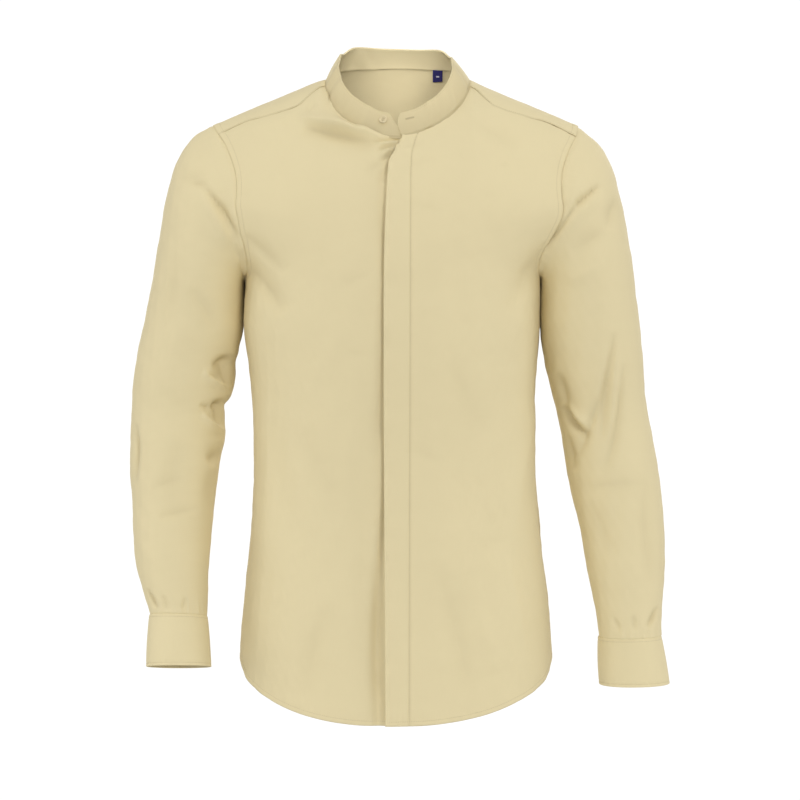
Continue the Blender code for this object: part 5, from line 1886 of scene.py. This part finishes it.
@dataclass
class CollarBand:
    """Standing band on the neck seam, open at the front, with one rounded end."""

    fronts: Fronts
    front_columns: int = 92
    nape_columns: int = 62
    rows: int = 20
    below: float = 0.012
    corner: float = 0.018
    corner_drop: float = 0.95
    corner_power: float = 1.25
    end_round: float = 0.003
    end_reach: float = 0.030
    foot_under: float = 0.0014
    foot_reach: float = 0.0026
    bow: float = 0.0010
    middle_y: float = -0.008
    wall: float = 0.0018
    stitch_in: float = 0.0022
    groove: float = 0.00025
    groove_width: float = 0.0009
    # painted shade: a thin line at the neck seam, and the band's front darker than its back
    seam_painted_shade: float = 0.25
    front_painted_shade: float = 0.38
    wave: float = 0.0005
    wave_pitch: float = 0.055
    foot_wave: float = 0.0004
    foot_pitch: float = 0.019
    back_wave: float = 0.0012
    back_pitch: float = 0.014
    back_at: float = 0.42
    back_width: float = 0.035

    def base(self) -> tuple[Array, Array]:
        """Neck seam from the wearer's right end round the back to the left end.

        Returns:
            The seam's points and the body cloth's normals there.
        """
        halves, facings = [], []
        for side in (-1, 1):
            line = FORM.neck_front(side, self.fronts.neck_starts[side])
            share = np.linspace(0.0, 1.0, self.front_columns)
            front = follow(line, share)
            nape = follow(FORM.neck_nape(side), np.linspace(0.0, 1.0, self.nape_columns))
            behind = FORM.over(nape)
            shapes = [np.concatenate([self.fronts.shape(front, side, out)[:-1],
                                      FORM.cloth(behind, out)]) for out in (0.0, MM)]
            halves.append(shapes[0])
            facings.append((shapes[1] - shapes[0]) / MM)
        return (np.concatenate([halves[0], halves[1][::-1][1:]]),
                np.concatenate([facings[0], facings[1][::-1][1:]]))

    def standing(self, base: Array, along: Array) -> tuple[Array, Array]:
        """Columns that rise from the seam, lean in and bow out a little.

        The right end is cut away round its corner, the left one rounds off in a quarter
        circle and reaches over the right.

        Args:
            base: points of the neck seam.
            along: distance of each from the right end.

        Returns:
            Points in rows from below the seam upwards, and each column's way up.
        """
        share, left = along / along[-1], along[-1] - along
        rise, lean = (smooth(BAND_TABLE[:, 0], BAND_TABLE[:, i], share) for i in (1, 2))
        inward = unit(np.array([FORM.neck_centre, self.middle_y]) - base[:, :2])
        up = np.column_stack([inward * lean[:, None], rise])
        past = np.clip(1.0 - along / self.corner, 0.0, 1.0)
        near_end = np.clip(1.0 - left / self.end_round, 0.0, 1.0)
        drop = (self.corner_drop * past**self.corner_power
                + self.end_round / rise * (1.0 - np.sqrt(1.0 - near_end**2)))
        high = -self.below + (1.0 - drop + self.below) * steps(self.rows)[:, None]
        level = np.clip(high, 0.0, 1.0)
        bow = self.bow * np.sin(np.pi * level)
        outward = np.column_stack([-inward, np.zeros(len(base))])
        reach = (smooth(END_TABLE[:, 0], END_TABLE[:, 1], level)
                 * (1.0 - ease(left / self.end_reach)))
        way = unit(np.gradient(base, axis=0))
        points = (base + high[..., None] * up + bow[..., None] * outward
                  + reach[..., None] * way)
        return points, up

    def foot(self, base: Array, facing: Array, up: Array, share: Array) -> Array:
        """Folded foot, turned in under the seam and less so at the back."""
        away = unit(np.cross(facing, np.gradient(base, axis=0)))
        away = np.where((away * up).sum(axis=1, keepdims=True) > 0.0, -away, away)
        front = (0.3 + 0.7 * ease((np.abs(share - 0.5) - 0.12) / 0.10))[:, None]
        return base - facing * self.foot_under * front + away * self.foot_reach * front

    def relief(self, points: Array, along: Array, v: Array) -> Array:
        """Height: long waves, short ones at the foot and the back, grooves and creases.

        Args:
            points: the smooth band, its foot first.
            along: distance of each column from the right end.
            v: share of the height of each row, as a column.

        Returns:
            Height of each point, nought at the foot and the seam.
        """
        share, arch = along / along[-1], np.sin(np.pi * v)
        high = self.wave * ripple(along, 1.0, self.wave_pitch) * v
        high += self.foot_wave * ripple(along, 3.3, self.foot_pitch) * bell(v - 0.1, 0.35)
        for row in (1, -1):
            away, _ = beside_line(points, points[row])
            high -= self.groove * bell(away - self.stitch_in, self.groove_width)
        for at, wide, size in BAND_CREASES:
            high += size * MM * bell(share - at + 0.01 * (v - 0.5), wide)
        back = bell(share - self.back_at, self.back_width)
        high += self.back_wave * back * arch * np.sin(np.pi * (along / self.back_pitch + v * 1.4))
        high[:2] = 0.0
        return high

    def panel(self) -> tuple[Panel, Sewing]:
        """The band and its stitches."""
        base, facing = self.base()
        along = lengths(base)
        share = along / along[-1]
        points, up = self.standing(base, along)
        points = np.concatenate([self.foot(base, facing, up, share)[None], points])
        v = np.concatenate([[0.0], steps(self.rows)])[:, None]
        away, _ = beside_line(points, base)
        # Painted shade: a thin line along the neck seam, and a darker front of the band.
        shade = (self.seam_painted_shade * bell(away, 0.0009)
                 + self.front_painted_shade * ease((np.abs(share - 0.5) - 0.20) / 0.08))
        panel = Panel("collar_band", points, wall=self.wall, flip=True, rim=0.0007, shade=shade)
        panel.push(self.relief(points, along, v))
        sewing = Sewing("collar_stitching")
        standing = Panel("", panel.points[1:], flip=True)
        for row, last in ((0, False), (-1, True)):
            sewing.beside(standing, standing.points[row], self.stitch_in, 0, last,
                          slice(16, -6))
        return panel, sewing

    def place(self, panel: Panel, along: float, up: float) -> tuple[Array, Array, Array]:
        """Place on the band, its facing and the direction round the neck.

        Args:
            panel: the band.
            along: distance from the wearer's right end, or from the left end if negative.
            up: share of the height.

        Returns:
            Place, facing and direction.
        """
        row = 1.0 + np.interp(up, steps(self.rows), np.arange(self.rows))
        line = lengths(panel.points[self.rows // 2])
        col = np.interp(along if along > 0 else line[-1] + along, line, np.arange(len(line)))
        return panel.spot(row, col, 0.5, 0.5)


# ----------------------------------------------------------------------------------- trims

def frame_on(facing: Array, way: Array) -> Array:
    """Unit axes on the cloth, one a row: along a way, across it, and out of the cloth."""
    out = unit(facing)
    way = unit(way - out * (way @ out))
    return np.array([way, np.cross(out, way), out])


@dataclass
class Button:
    """Four-hole button with a raised rim, sewn with two bars of thread."""

    node: str
    place: Array
    facing: Array
    way: Array
    radius: float = 0.0050
    height: float = 0.0022
    rings: int = 22
    sides: int = 64
    hole_out: float = 0.0012
    hole_size: float = 0.00055
    pit: float = 0.0011
    rim_height: float = 0.80
    rim_reach: float = 0.985
    thread_spread: float = 0.0009
    thread_height: float = 0.66
    edge: tuple[tuple[float, float], ...] = (
        (1.0, 0.55), (0.985, 0.30), (0.93, 0.10), (0.80, 0.0), (0.02, 0.0))

    def rings_of_points(self) -> Array:
        """Rings turned from a profile: a dished top in a rounded rim, then edge and back.

        Each hole is a bell-shaped pit in the top, of the fourth power.

        Returns:
            Rings by sides by 3, in the button's own axes.
        """
        turn = np.linspace(0.0, 2.0 * np.pi, self.sides, endpoint=False)
        share = np.linspace(0.02, 1.0, self.rings)
        dish = 0.62 + 0.38 * bell(share - 0.84, 0.13) - 0.04 * (1.0 - share)
        dish[-1] = self.rim_height
        edge = np.array(self.edge)
        reach = np.concatenate([share * self.rim_reach, edge[:, 0]])[:, None] * self.radius
        x, y = reach * np.cos(turn), reach * np.sin(turn)
        z = np.concatenate([dish, edge[:, 1]])[:, None] * self.height + 0.0 * x
        top = slice(self.rings)
        away = np.hypot(np.abs(x[top]) - self.hole_out, np.abs(y[top]) - self.hole_out)
        z[top] -= self.pit * np.exp(-(away / self.hole_size) ** 4)
        return np.stack([x, y, z], -1)

    def disc(self, axes: Array) -> bpy.types.Object:
        """The button itself, closed in the middle of its top and its back."""
        rings = self.place + self.rings_of_points() @ axes
        cap = rings[[0, -1]].mean(axis=1)
        points = np.concatenate([rings.reshape(-1, 3), cap])
        number = np.arange(self.sides)
        after = (number + 1) % self.sides
        low = (len(rings) - 1) * self.sides
        top, base = (np.full(self.sides, len(points) - back) for back in (2, 1))
        faces = (grid_faces(len(rings), self.sides, True, True).tolist()
                 + np.stack([top, number, after], -1).tolist()
                 + np.stack([base, low + after, low + number], -1).tolist())
        item = mesh_object(self.node + "_finished", points, faces, painted(Finish.BUTTON))
        adopt(item, self.node)
        return item

    def thread(self, axes: Array) -> bpy.types.Object:
        """Two bars of thread from hole to hole."""
        sewing = Sewing(self.node + "_thread", length=0.0030, thickness=0.00016,
                        profile=BUTTON_BAR, spread=1.0)
        for side in (-1, 1):
            line = np.zeros((5, 3))
            line[:, 1] = side * self.hole_out + np.linspace(-1, 1, 5) * self.thread_spread
            line[:, 2] = self.height * self.thread_height
            sewing.lay(self.place + line @ axes, *axes)
        return sewing.build()

    def build(self) -> list[bpy.types.Object]:
        """Make the button and its thread."""
        axes = frame_on(self.facing, self.way)
        return [self.disc(axes), self.thread(axes)]


@dataclass
class Buttonhole:
    """Slit bound with close stitches: a ribbed tube round a long narrow loop."""

    name: str
    place: Array
    facing: Array
    way: Array
    length: float = 0.0098
    width: float = 0.0012
    thickness: float = 0.00042
    ribs: int = 54
    rib_size: float = 0.16
    points_for_rib: int = 4
    sides: int = 8
    squash: tuple[float, float] = (1.35, 0.75)

    def path(self, panel: Panel, turn: Array) -> Array:
        """Loop of two straights with rounded ends, laid on the cloth.

        Args:
            panel: the cloth that it lies on.
            turn: places round the loop.

        Returns:
            Points of the loop.
        """
        way, side, _ = frame_on(self.facing, self.way)
        along = power(np.cos(turn), 0.35) * self.length / 2
        across = power(np.sin(turn), 0.8) * self.width / 2
        path = self.place + along[:, None] * way + across[:, None] * side
        flat, normals = panel.points.reshape(-1, 3), panel.normals().reshape(-1, 3)
        near = ((flat**2).sum(1)[None] - 2.0 * path @ flat.T).argmin(axis=1)
        off = ((flat[near] - path) * normals[near]).sum(axis=1, keepdims=True)
        return path + normals[near] * off

    def build(self, panel: Panel) -> bpy.types.Object:
        """Make the tube, thicker at every rib.

        Args:
            panel: the cloth that it lies on.

        Returns:
            The new object.
        """
        count, sides = self.ribs * self.points_for_rib, self.sides
        turn = np.linspace(0.0, 2.0 * np.pi, count, endpoint=False)
        path, out = self.path(panel, turn), unit(self.facing)
        along = unit(np.roll(path, -1, axis=0) - np.roll(path, 1, axis=0))
        across = np.cross(along, out)[:, None]
        fat = self.thickness * (1.0 + self.rib_size * np.sin(turn * self.ribs))
        swing = np.linspace(0.0, 2.0 * np.pi, sides, endpoint=False)[None, :, None]
        wide, tall = self.squash
        tube = path[:, None] + fat[:, None, None] * (np.cos(swing) * across * wide
                                                     + np.sin(swing) * out * tall)
        wrap = np.arange(sides)
        last, after = (count - 1) * sides, (wrap + 1) % sides
        close = np.stack([last + wrap, last + after, after, wrap], -1)
        faces = np.concatenate([grid_faces(count, sides, True, False), close])
        item = mesh_object(self.name, tube.reshape(-1, 3), faces.tolist(),
                           painted(Finish.THREAD))
        adopt(item)
        return item


@dataclass
class SizeLabel:
    """Navy woven tab hanging from the neck seam inside the yoke, with one plain mark."""

    width: float = 0.0122
    across: float = 0.0520
    top: float = -0.0028
    drop: float = 0.0250
    inside: float = 0.0029
    curl: float = 0.0003
    wall: float = 0.0010
    columns: int = 13
    rows: int = 30
    mark_gap: float = 0.0003
    mark_wall: float = 0.0002

    def patch(self, wide: Array, down: Array, out: Array | float) -> Array:
        """Points of a patch of the label.

        Args:
            wide: shares of its width, from the middle.
            down: shares of its drop.
            out: how far it stands out of the yoke.

        Returns:
            Points, one row for each share of the drop.
        """
        rim = FORM.neck_nape(1)
        across = FORM.cloth(FORM.over(rim))[:, 0]
        line = between(-(self.across + self.width * wide), -across, rim)
        drop = self.top + self.drop * down
        places = line[None] + drop[:, None, None] * np.array([0.0, 1.0])
        return FORM.cloth(FORM.over(places), out)

    def build(self) -> list[bpy.types.Object]:
        """Make the tab and its mark.

        Returns:
            The two objects.
        """
        wide, down = np.linspace(0.5, -0.5, self.columns), np.linspace(0.0, 1.0, self.rows)
        bend = self.curl * np.sin(np.pi * down)[:, None] * np.ones(self.columns)
        points = self.patch(wide, down, -self.inside - bend)
        tab = Panel("size_label", points, wall=self.wall, flip=True, finish=Finish.LABEL,
                    slot="label").build()
        under = -(self.inside + self.wall + self.mark_gap)
        points = self.patch(np.linspace(0.17, -0.13, 6), np.linspace(0.48, 0.60, 4), under)
        mark = grid_object("label_mark", points)
        mark.data.materials.append(painted(Finish.LABEL_MARK))
        mark.modifiers.new("wall", "SOLIDIFY").thickness = self.mark_wall
        adopt(mark)
        return [tab, mark]


# ---------------------------------------------------------------------------------- studio

MIDDLE = (0.0, 0.0, -0.36)


@dataclass(frozen=True)
class Light:
    """Soft rectangular light that looks at a point."""

    name: str
    place: tuple[float, float, float]
    watts: float
    size: tuple[float, float]
    aim: tuple[float, float, float] = MIDDLE
    kind: str = "AREA"

    def shaped(self) -> bpy.types.Light:
        """The lamp with its own size."""
        lamp = bpy.data.lights.new(self.name, self.kind)
        lamp.shape = "RECTANGLE"
        lamp.size, lamp.size_y = self.size
        return lamp

    def build(self) -> None:
        """Make the light and turn it to its aim."""
        lamp = self.shaped()
        lamp.energy = self.watts
        item = bpy.data.objects.new(self.name, lamp)
        item.location = self.place
        way = Vector(self.aim) - Vector(self.place)
        item.rotation_euler = way.to_track_quat("-Z", "Y").to_euler()
        bpy.context.scene.collection.objects.link(item)


@dataclass(frozen=True)
class Spot(Light):
    """Narrow light with a soft edge: its size is the cone in degrees and the lamp's radius."""

    kind: str = "SPOT"
    blend: float = 0.7

    def shaped(self) -> bpy.types.Light:
        """The lamp with its cone."""
        lamp = bpy.data.lights.new(self.name, self.kind)
        cone, lamp.shadow_soft_size = self.size
        lamp.spot_size = np.radians(cone)
        lamp.spot_blend = self.blend
        return lamp


LIGHTS = (
    Light("key", (1.35, -3.0, 1.35), 36.5, (0.9, 0.9)),
    Light("front_fill", (-0.5, -3.5, 0.35), 17.0, (1.5, 1.5)),
    Light("left_fill", (-2.0, -2.0, 0.1), 10.0, (1.4, 1.8)),
    Light("left_side", (-2.6, -0.1, 0.0), 15.0, (1.2, 1.6)),
    Light("right_side", (2.6, -0.1, 0.0), 15.0, (1.2, 1.6)),
    Light("top", (0.0, -0.7, 2.6), 15.0, (1.8, 1.4)),
    Spot("neck", (0.0, -1.9, 0.26), 100.0, (4.4, 0.05), aim=(0.004, 0.06, 0.014)),
    Light("rear_left", (1.5, 2.9, 1.0), 34.0, (1.8, 1.8)),
    Light("rear_right", (-1.4, 3.0, 0.4), 20.0, (1.8, 1.8)),
)


@dataclass
class Studio:
    """Camera, pale floor, soft lights and white surroundings."""

    camera_place: tuple[float, float, float] = (0.0048, -3.5, -0.3828)
    lens: float = 131.25
    sensor: float = 36.0
    floor_height: float = -1.05
    floor_radius: float = 1.15
    floor_color: Color = (0.84, 0.84, 0.83, 1.0)
    white: Color = (1.0, 1.0, 1.0, 1.0)
    lighting: float = 0.37
    backdrop: float = 1.05

    def floor(self) -> None:
        """Thin round floor, its rim rounded over, in pale matt paint."""
        turn = np.linspace(0.0, 2.0 * np.pi, 96, endpoint=False)
        reach = np.array([0.0, 0.3, 0.6, 0.85, 0.97, 0.995, 1.0])[:, None] * self.floor_radius
        level = np.array([0.0, 0.0, 0.0, 0.0, 0.0, -0.003, -0.012])[:, None]
        points = np.stack([reach * np.cos(turn), reach * np.sin(turn),
                           level + self.floor_height + 0.0 * turn], -1)
        item = grid_object("floor", points, closed=True)
        paint = bpy.data.materials.new("floor_paint")
        paint.use_nodes = True
        NodeBench(paint.node_tree).feed(paint.node_tree.nodes["Principled BSDF"], {
            "Base Color": self.floor_color, "Roughness": 0.9})
        item.data.materials.append(paint)

    def surroundings(self) -> None:
        """White seen by the camera, and a dimmer even white for the lighting."""
        world = bpy.data.worlds.new("studio")
        world.use_nodes = True
        bench, nodes = NodeBench(world.node_tree), world.node_tree.nodes
        bench.feed(nodes["Background"], {"Color": self.white, "Strength": self.lighting})
        seen = bench.add("Background", {"Color": self.white, "Strength": self.backdrop})
        camera = bench.add("LightPath").outputs["Is Camera Ray"]
        mix = bench.add("MixShader", {0: camera, 1: nodes["Background"].outputs[0],
                                      2: seen.outputs[0]})
        bench.feed(nodes["World Output"], {"Surface": mix.outputs[0]})
        bpy.context.scene.world = world

    def build(self) -> None:
        """Set up the camera, floor and lights."""
        view = bpy.data.cameras.new("camera")
        view.lens, view.sensor_width = self.lens, self.sensor
        camera = bpy.data.objects.new("camera", view)
        camera.location = self.camera_place
        camera.rotation_euler = (np.pi / 2, 0.0, 0.0)
        scene = bpy.context.scene
        scene.collection.objects.link(camera)
        scene.camera = camera
        scene.view_settings.view_transform = "Standard"
        scene.cycles.use_denoising = True
        self.floor()
        self.surroundings()
        for light in LIGHTS:
            light.build()


# ------------------------------------------------------------------------------------ main

@dataclass(frozen=True)
class Cut:
    """What a cloth piece was cut to: width, length, area where not a rectangle, and hold."""

    width: float
    length: float
    area: float
    held: str
    rests_on: str

    def declare(self, item: bpy.types.Object, with_pieces: list[bpy.types.Object]) -> None:
        """Does nothing: the piece is not declared as a sheet of this size."""


CUTS = {
    "front_left": Cut(0.290, 0.735, 0.172, "hung", "yoke"),
    "front_right": Cut(0.275, 0.735, 0.172, "hung", "yoke"),
    "fly_band": Cut(0.032, 0.665, 0.020, "hung", "front_left"),
    "back": Cut(0.545, 0.740, 0.330, "hung", "yoke"),
    "yoke": Cut(0.480, 0.240, 0.062, "hung", "collar_band"),
    "collar_band": Cut(0.430, 0.036, 0.0135, "folded", "yoke"),
    "sleeve_left": Cut(0.500, 0.620, 0.215, "hung", "front_left"),
    "sleeve_right": Cut(0.500, 0.600, 0.210, "hung", "front_right"),
    "sleeve_placket_left": Cut(0.032, 0.180, 0.0040, "laid", "sleeve_left"),
    "sleeve_placket_right": Cut(0.032, 0.180, 0.0040, "laid", "sleeve_right"),
    "cuff_left": Cut(0.265, 0.062, 0.0150, "folded", "sleeve_left"),
    "cuff_right": Cut(0.260, 0.062, 0.0145, "folded", "sleeve_right"),
    "size_label": Cut(0.0122, 0.0250, 0.00029, "hung", "yoke"),
}
BUTTON_SEAT = 0.0004                    # how far a button stands off the cloth
COLLAR_BUTTON = (0.0278, 0.66)          # distance from the band's end, share of its height
COLLAR_BUTTONHOLE = (-0.0152, 0.68)
FLY_BUTTONS = np.linspace(-0.130, -0.650, 6)        # their heights
FLY_BUTTON_X = 0.002


@dataclass
class Shirt:
    """The whole shirt, built piece by piece."""

    fronts: Fronts = field(default_factory=Fronts)

    def cloth(self, panel: Panel, sewing: Sewing | None = None,
              extras: list[bpy.types.Object] | None = None) -> None:
        """Args:
            panel: the cloth.
            sewing: its stitches, if it has any.
            extras: other pieces that go with it.
        """
        item = panel.build()
        going = list(extras or [])
        if sewing is not None:
            going.append(sewing.build())
        CUTS[panel.name].declare(item, going)
        LOG.info("%s: %d points", panel.name, panel.points.shape[0] * panel.points.shape[1])

    def button(self, node: str, place: Array, facing: Array, way: Array, **sizes: float
               ) -> list[bpy.types.Object]:
        """Build a button a little off the cloth."""
        made = Button(node, place + facing * BUTTON_SEAT, facing, way, **sizes)
        return made.build()

    def collar(self) -> None:
        """Band with its button and buttonhole."""
        band = CollarBand(self.fronts)
        panel, sewing = band.panel()
        going = self.button("collar_button", *band.place(panel, *COLLAR_BUTTON))
        hole = Buttonhole("collar_buttonhole", *band.place(panel, *COLLAR_BUTTONHOLE))
        self.cloth(panel, sewing, [*going, hole.build(panel)])

    def arm(self, side: Side) -> None:
        """Sleeve, placket strip, and cuff with its button and buttonhole."""
        sleeve, strip, strip_sewing = Sleeve(side).panels()
        self.cloth(sleeve)
        self.cloth(strip, strip_sewing)
        cuff = Cuff(side)
        panel, sewing = cuff.panel()
        spot = cuff.button_place(panel)
        going = self.button("cuff_button_" + side.name, *spot)
        hole = Buttonhole("cuff_buttonhole_" + side.name, *spot)
        self.cloth(panel, sewing, [*going, hole.build(panel)])

    def fly_buttons(self) -> None:
        """Flat buttons hidden under the placket, on the right front."""
        for number, height in enumerate(FLY_BUTTONS, start=1):
            where = FORM.find(np.array(FLY_BUTTON_X), np.array(height))
            facing = (FORM.cloth(where, MM) - FORM.cloth(where)) / MM
            self.button(f"fly_button_{number}", FORM.cloth(where, self.fronts.band_out), facing,
                        np.array([1.0, 0.0, 0.0]), height=0.0011, rings=10, sides=28)
        LOG.info("fly buttons: %d", len(FLY_BUTTONS))

    def label(self) -> None:
        """Size label with its mark."""
        tab, mark = SizeLabel().build()
        CUTS["size_label"].declare(tab, [mark])
        LOG.info("size_label: tab and mark")

    def build(self) -> None:
        """Build all pieces in the order in which they are sewn on."""
        self.cloth(*self.fronts.panel(1))
        self.cloth(*self.fronts.panel(-1))
        self.cloth(self.fronts.band())
        self.cloth(*Back().panel())
        self.cloth(*Yoke().panel())
        self.collar()
        for side in SIDES:
            self.arm(side)
        self.fly_buttons()
        self.label()


def main() -> None:
    """Build the studio and the shirt, logging how many points each cloth piece has."""
    logging.basicConfig(level=logging.INFO, format="%(message)s")
    Studio().build()
    Shirt().build()


if __name__ == "__main__":
    main()
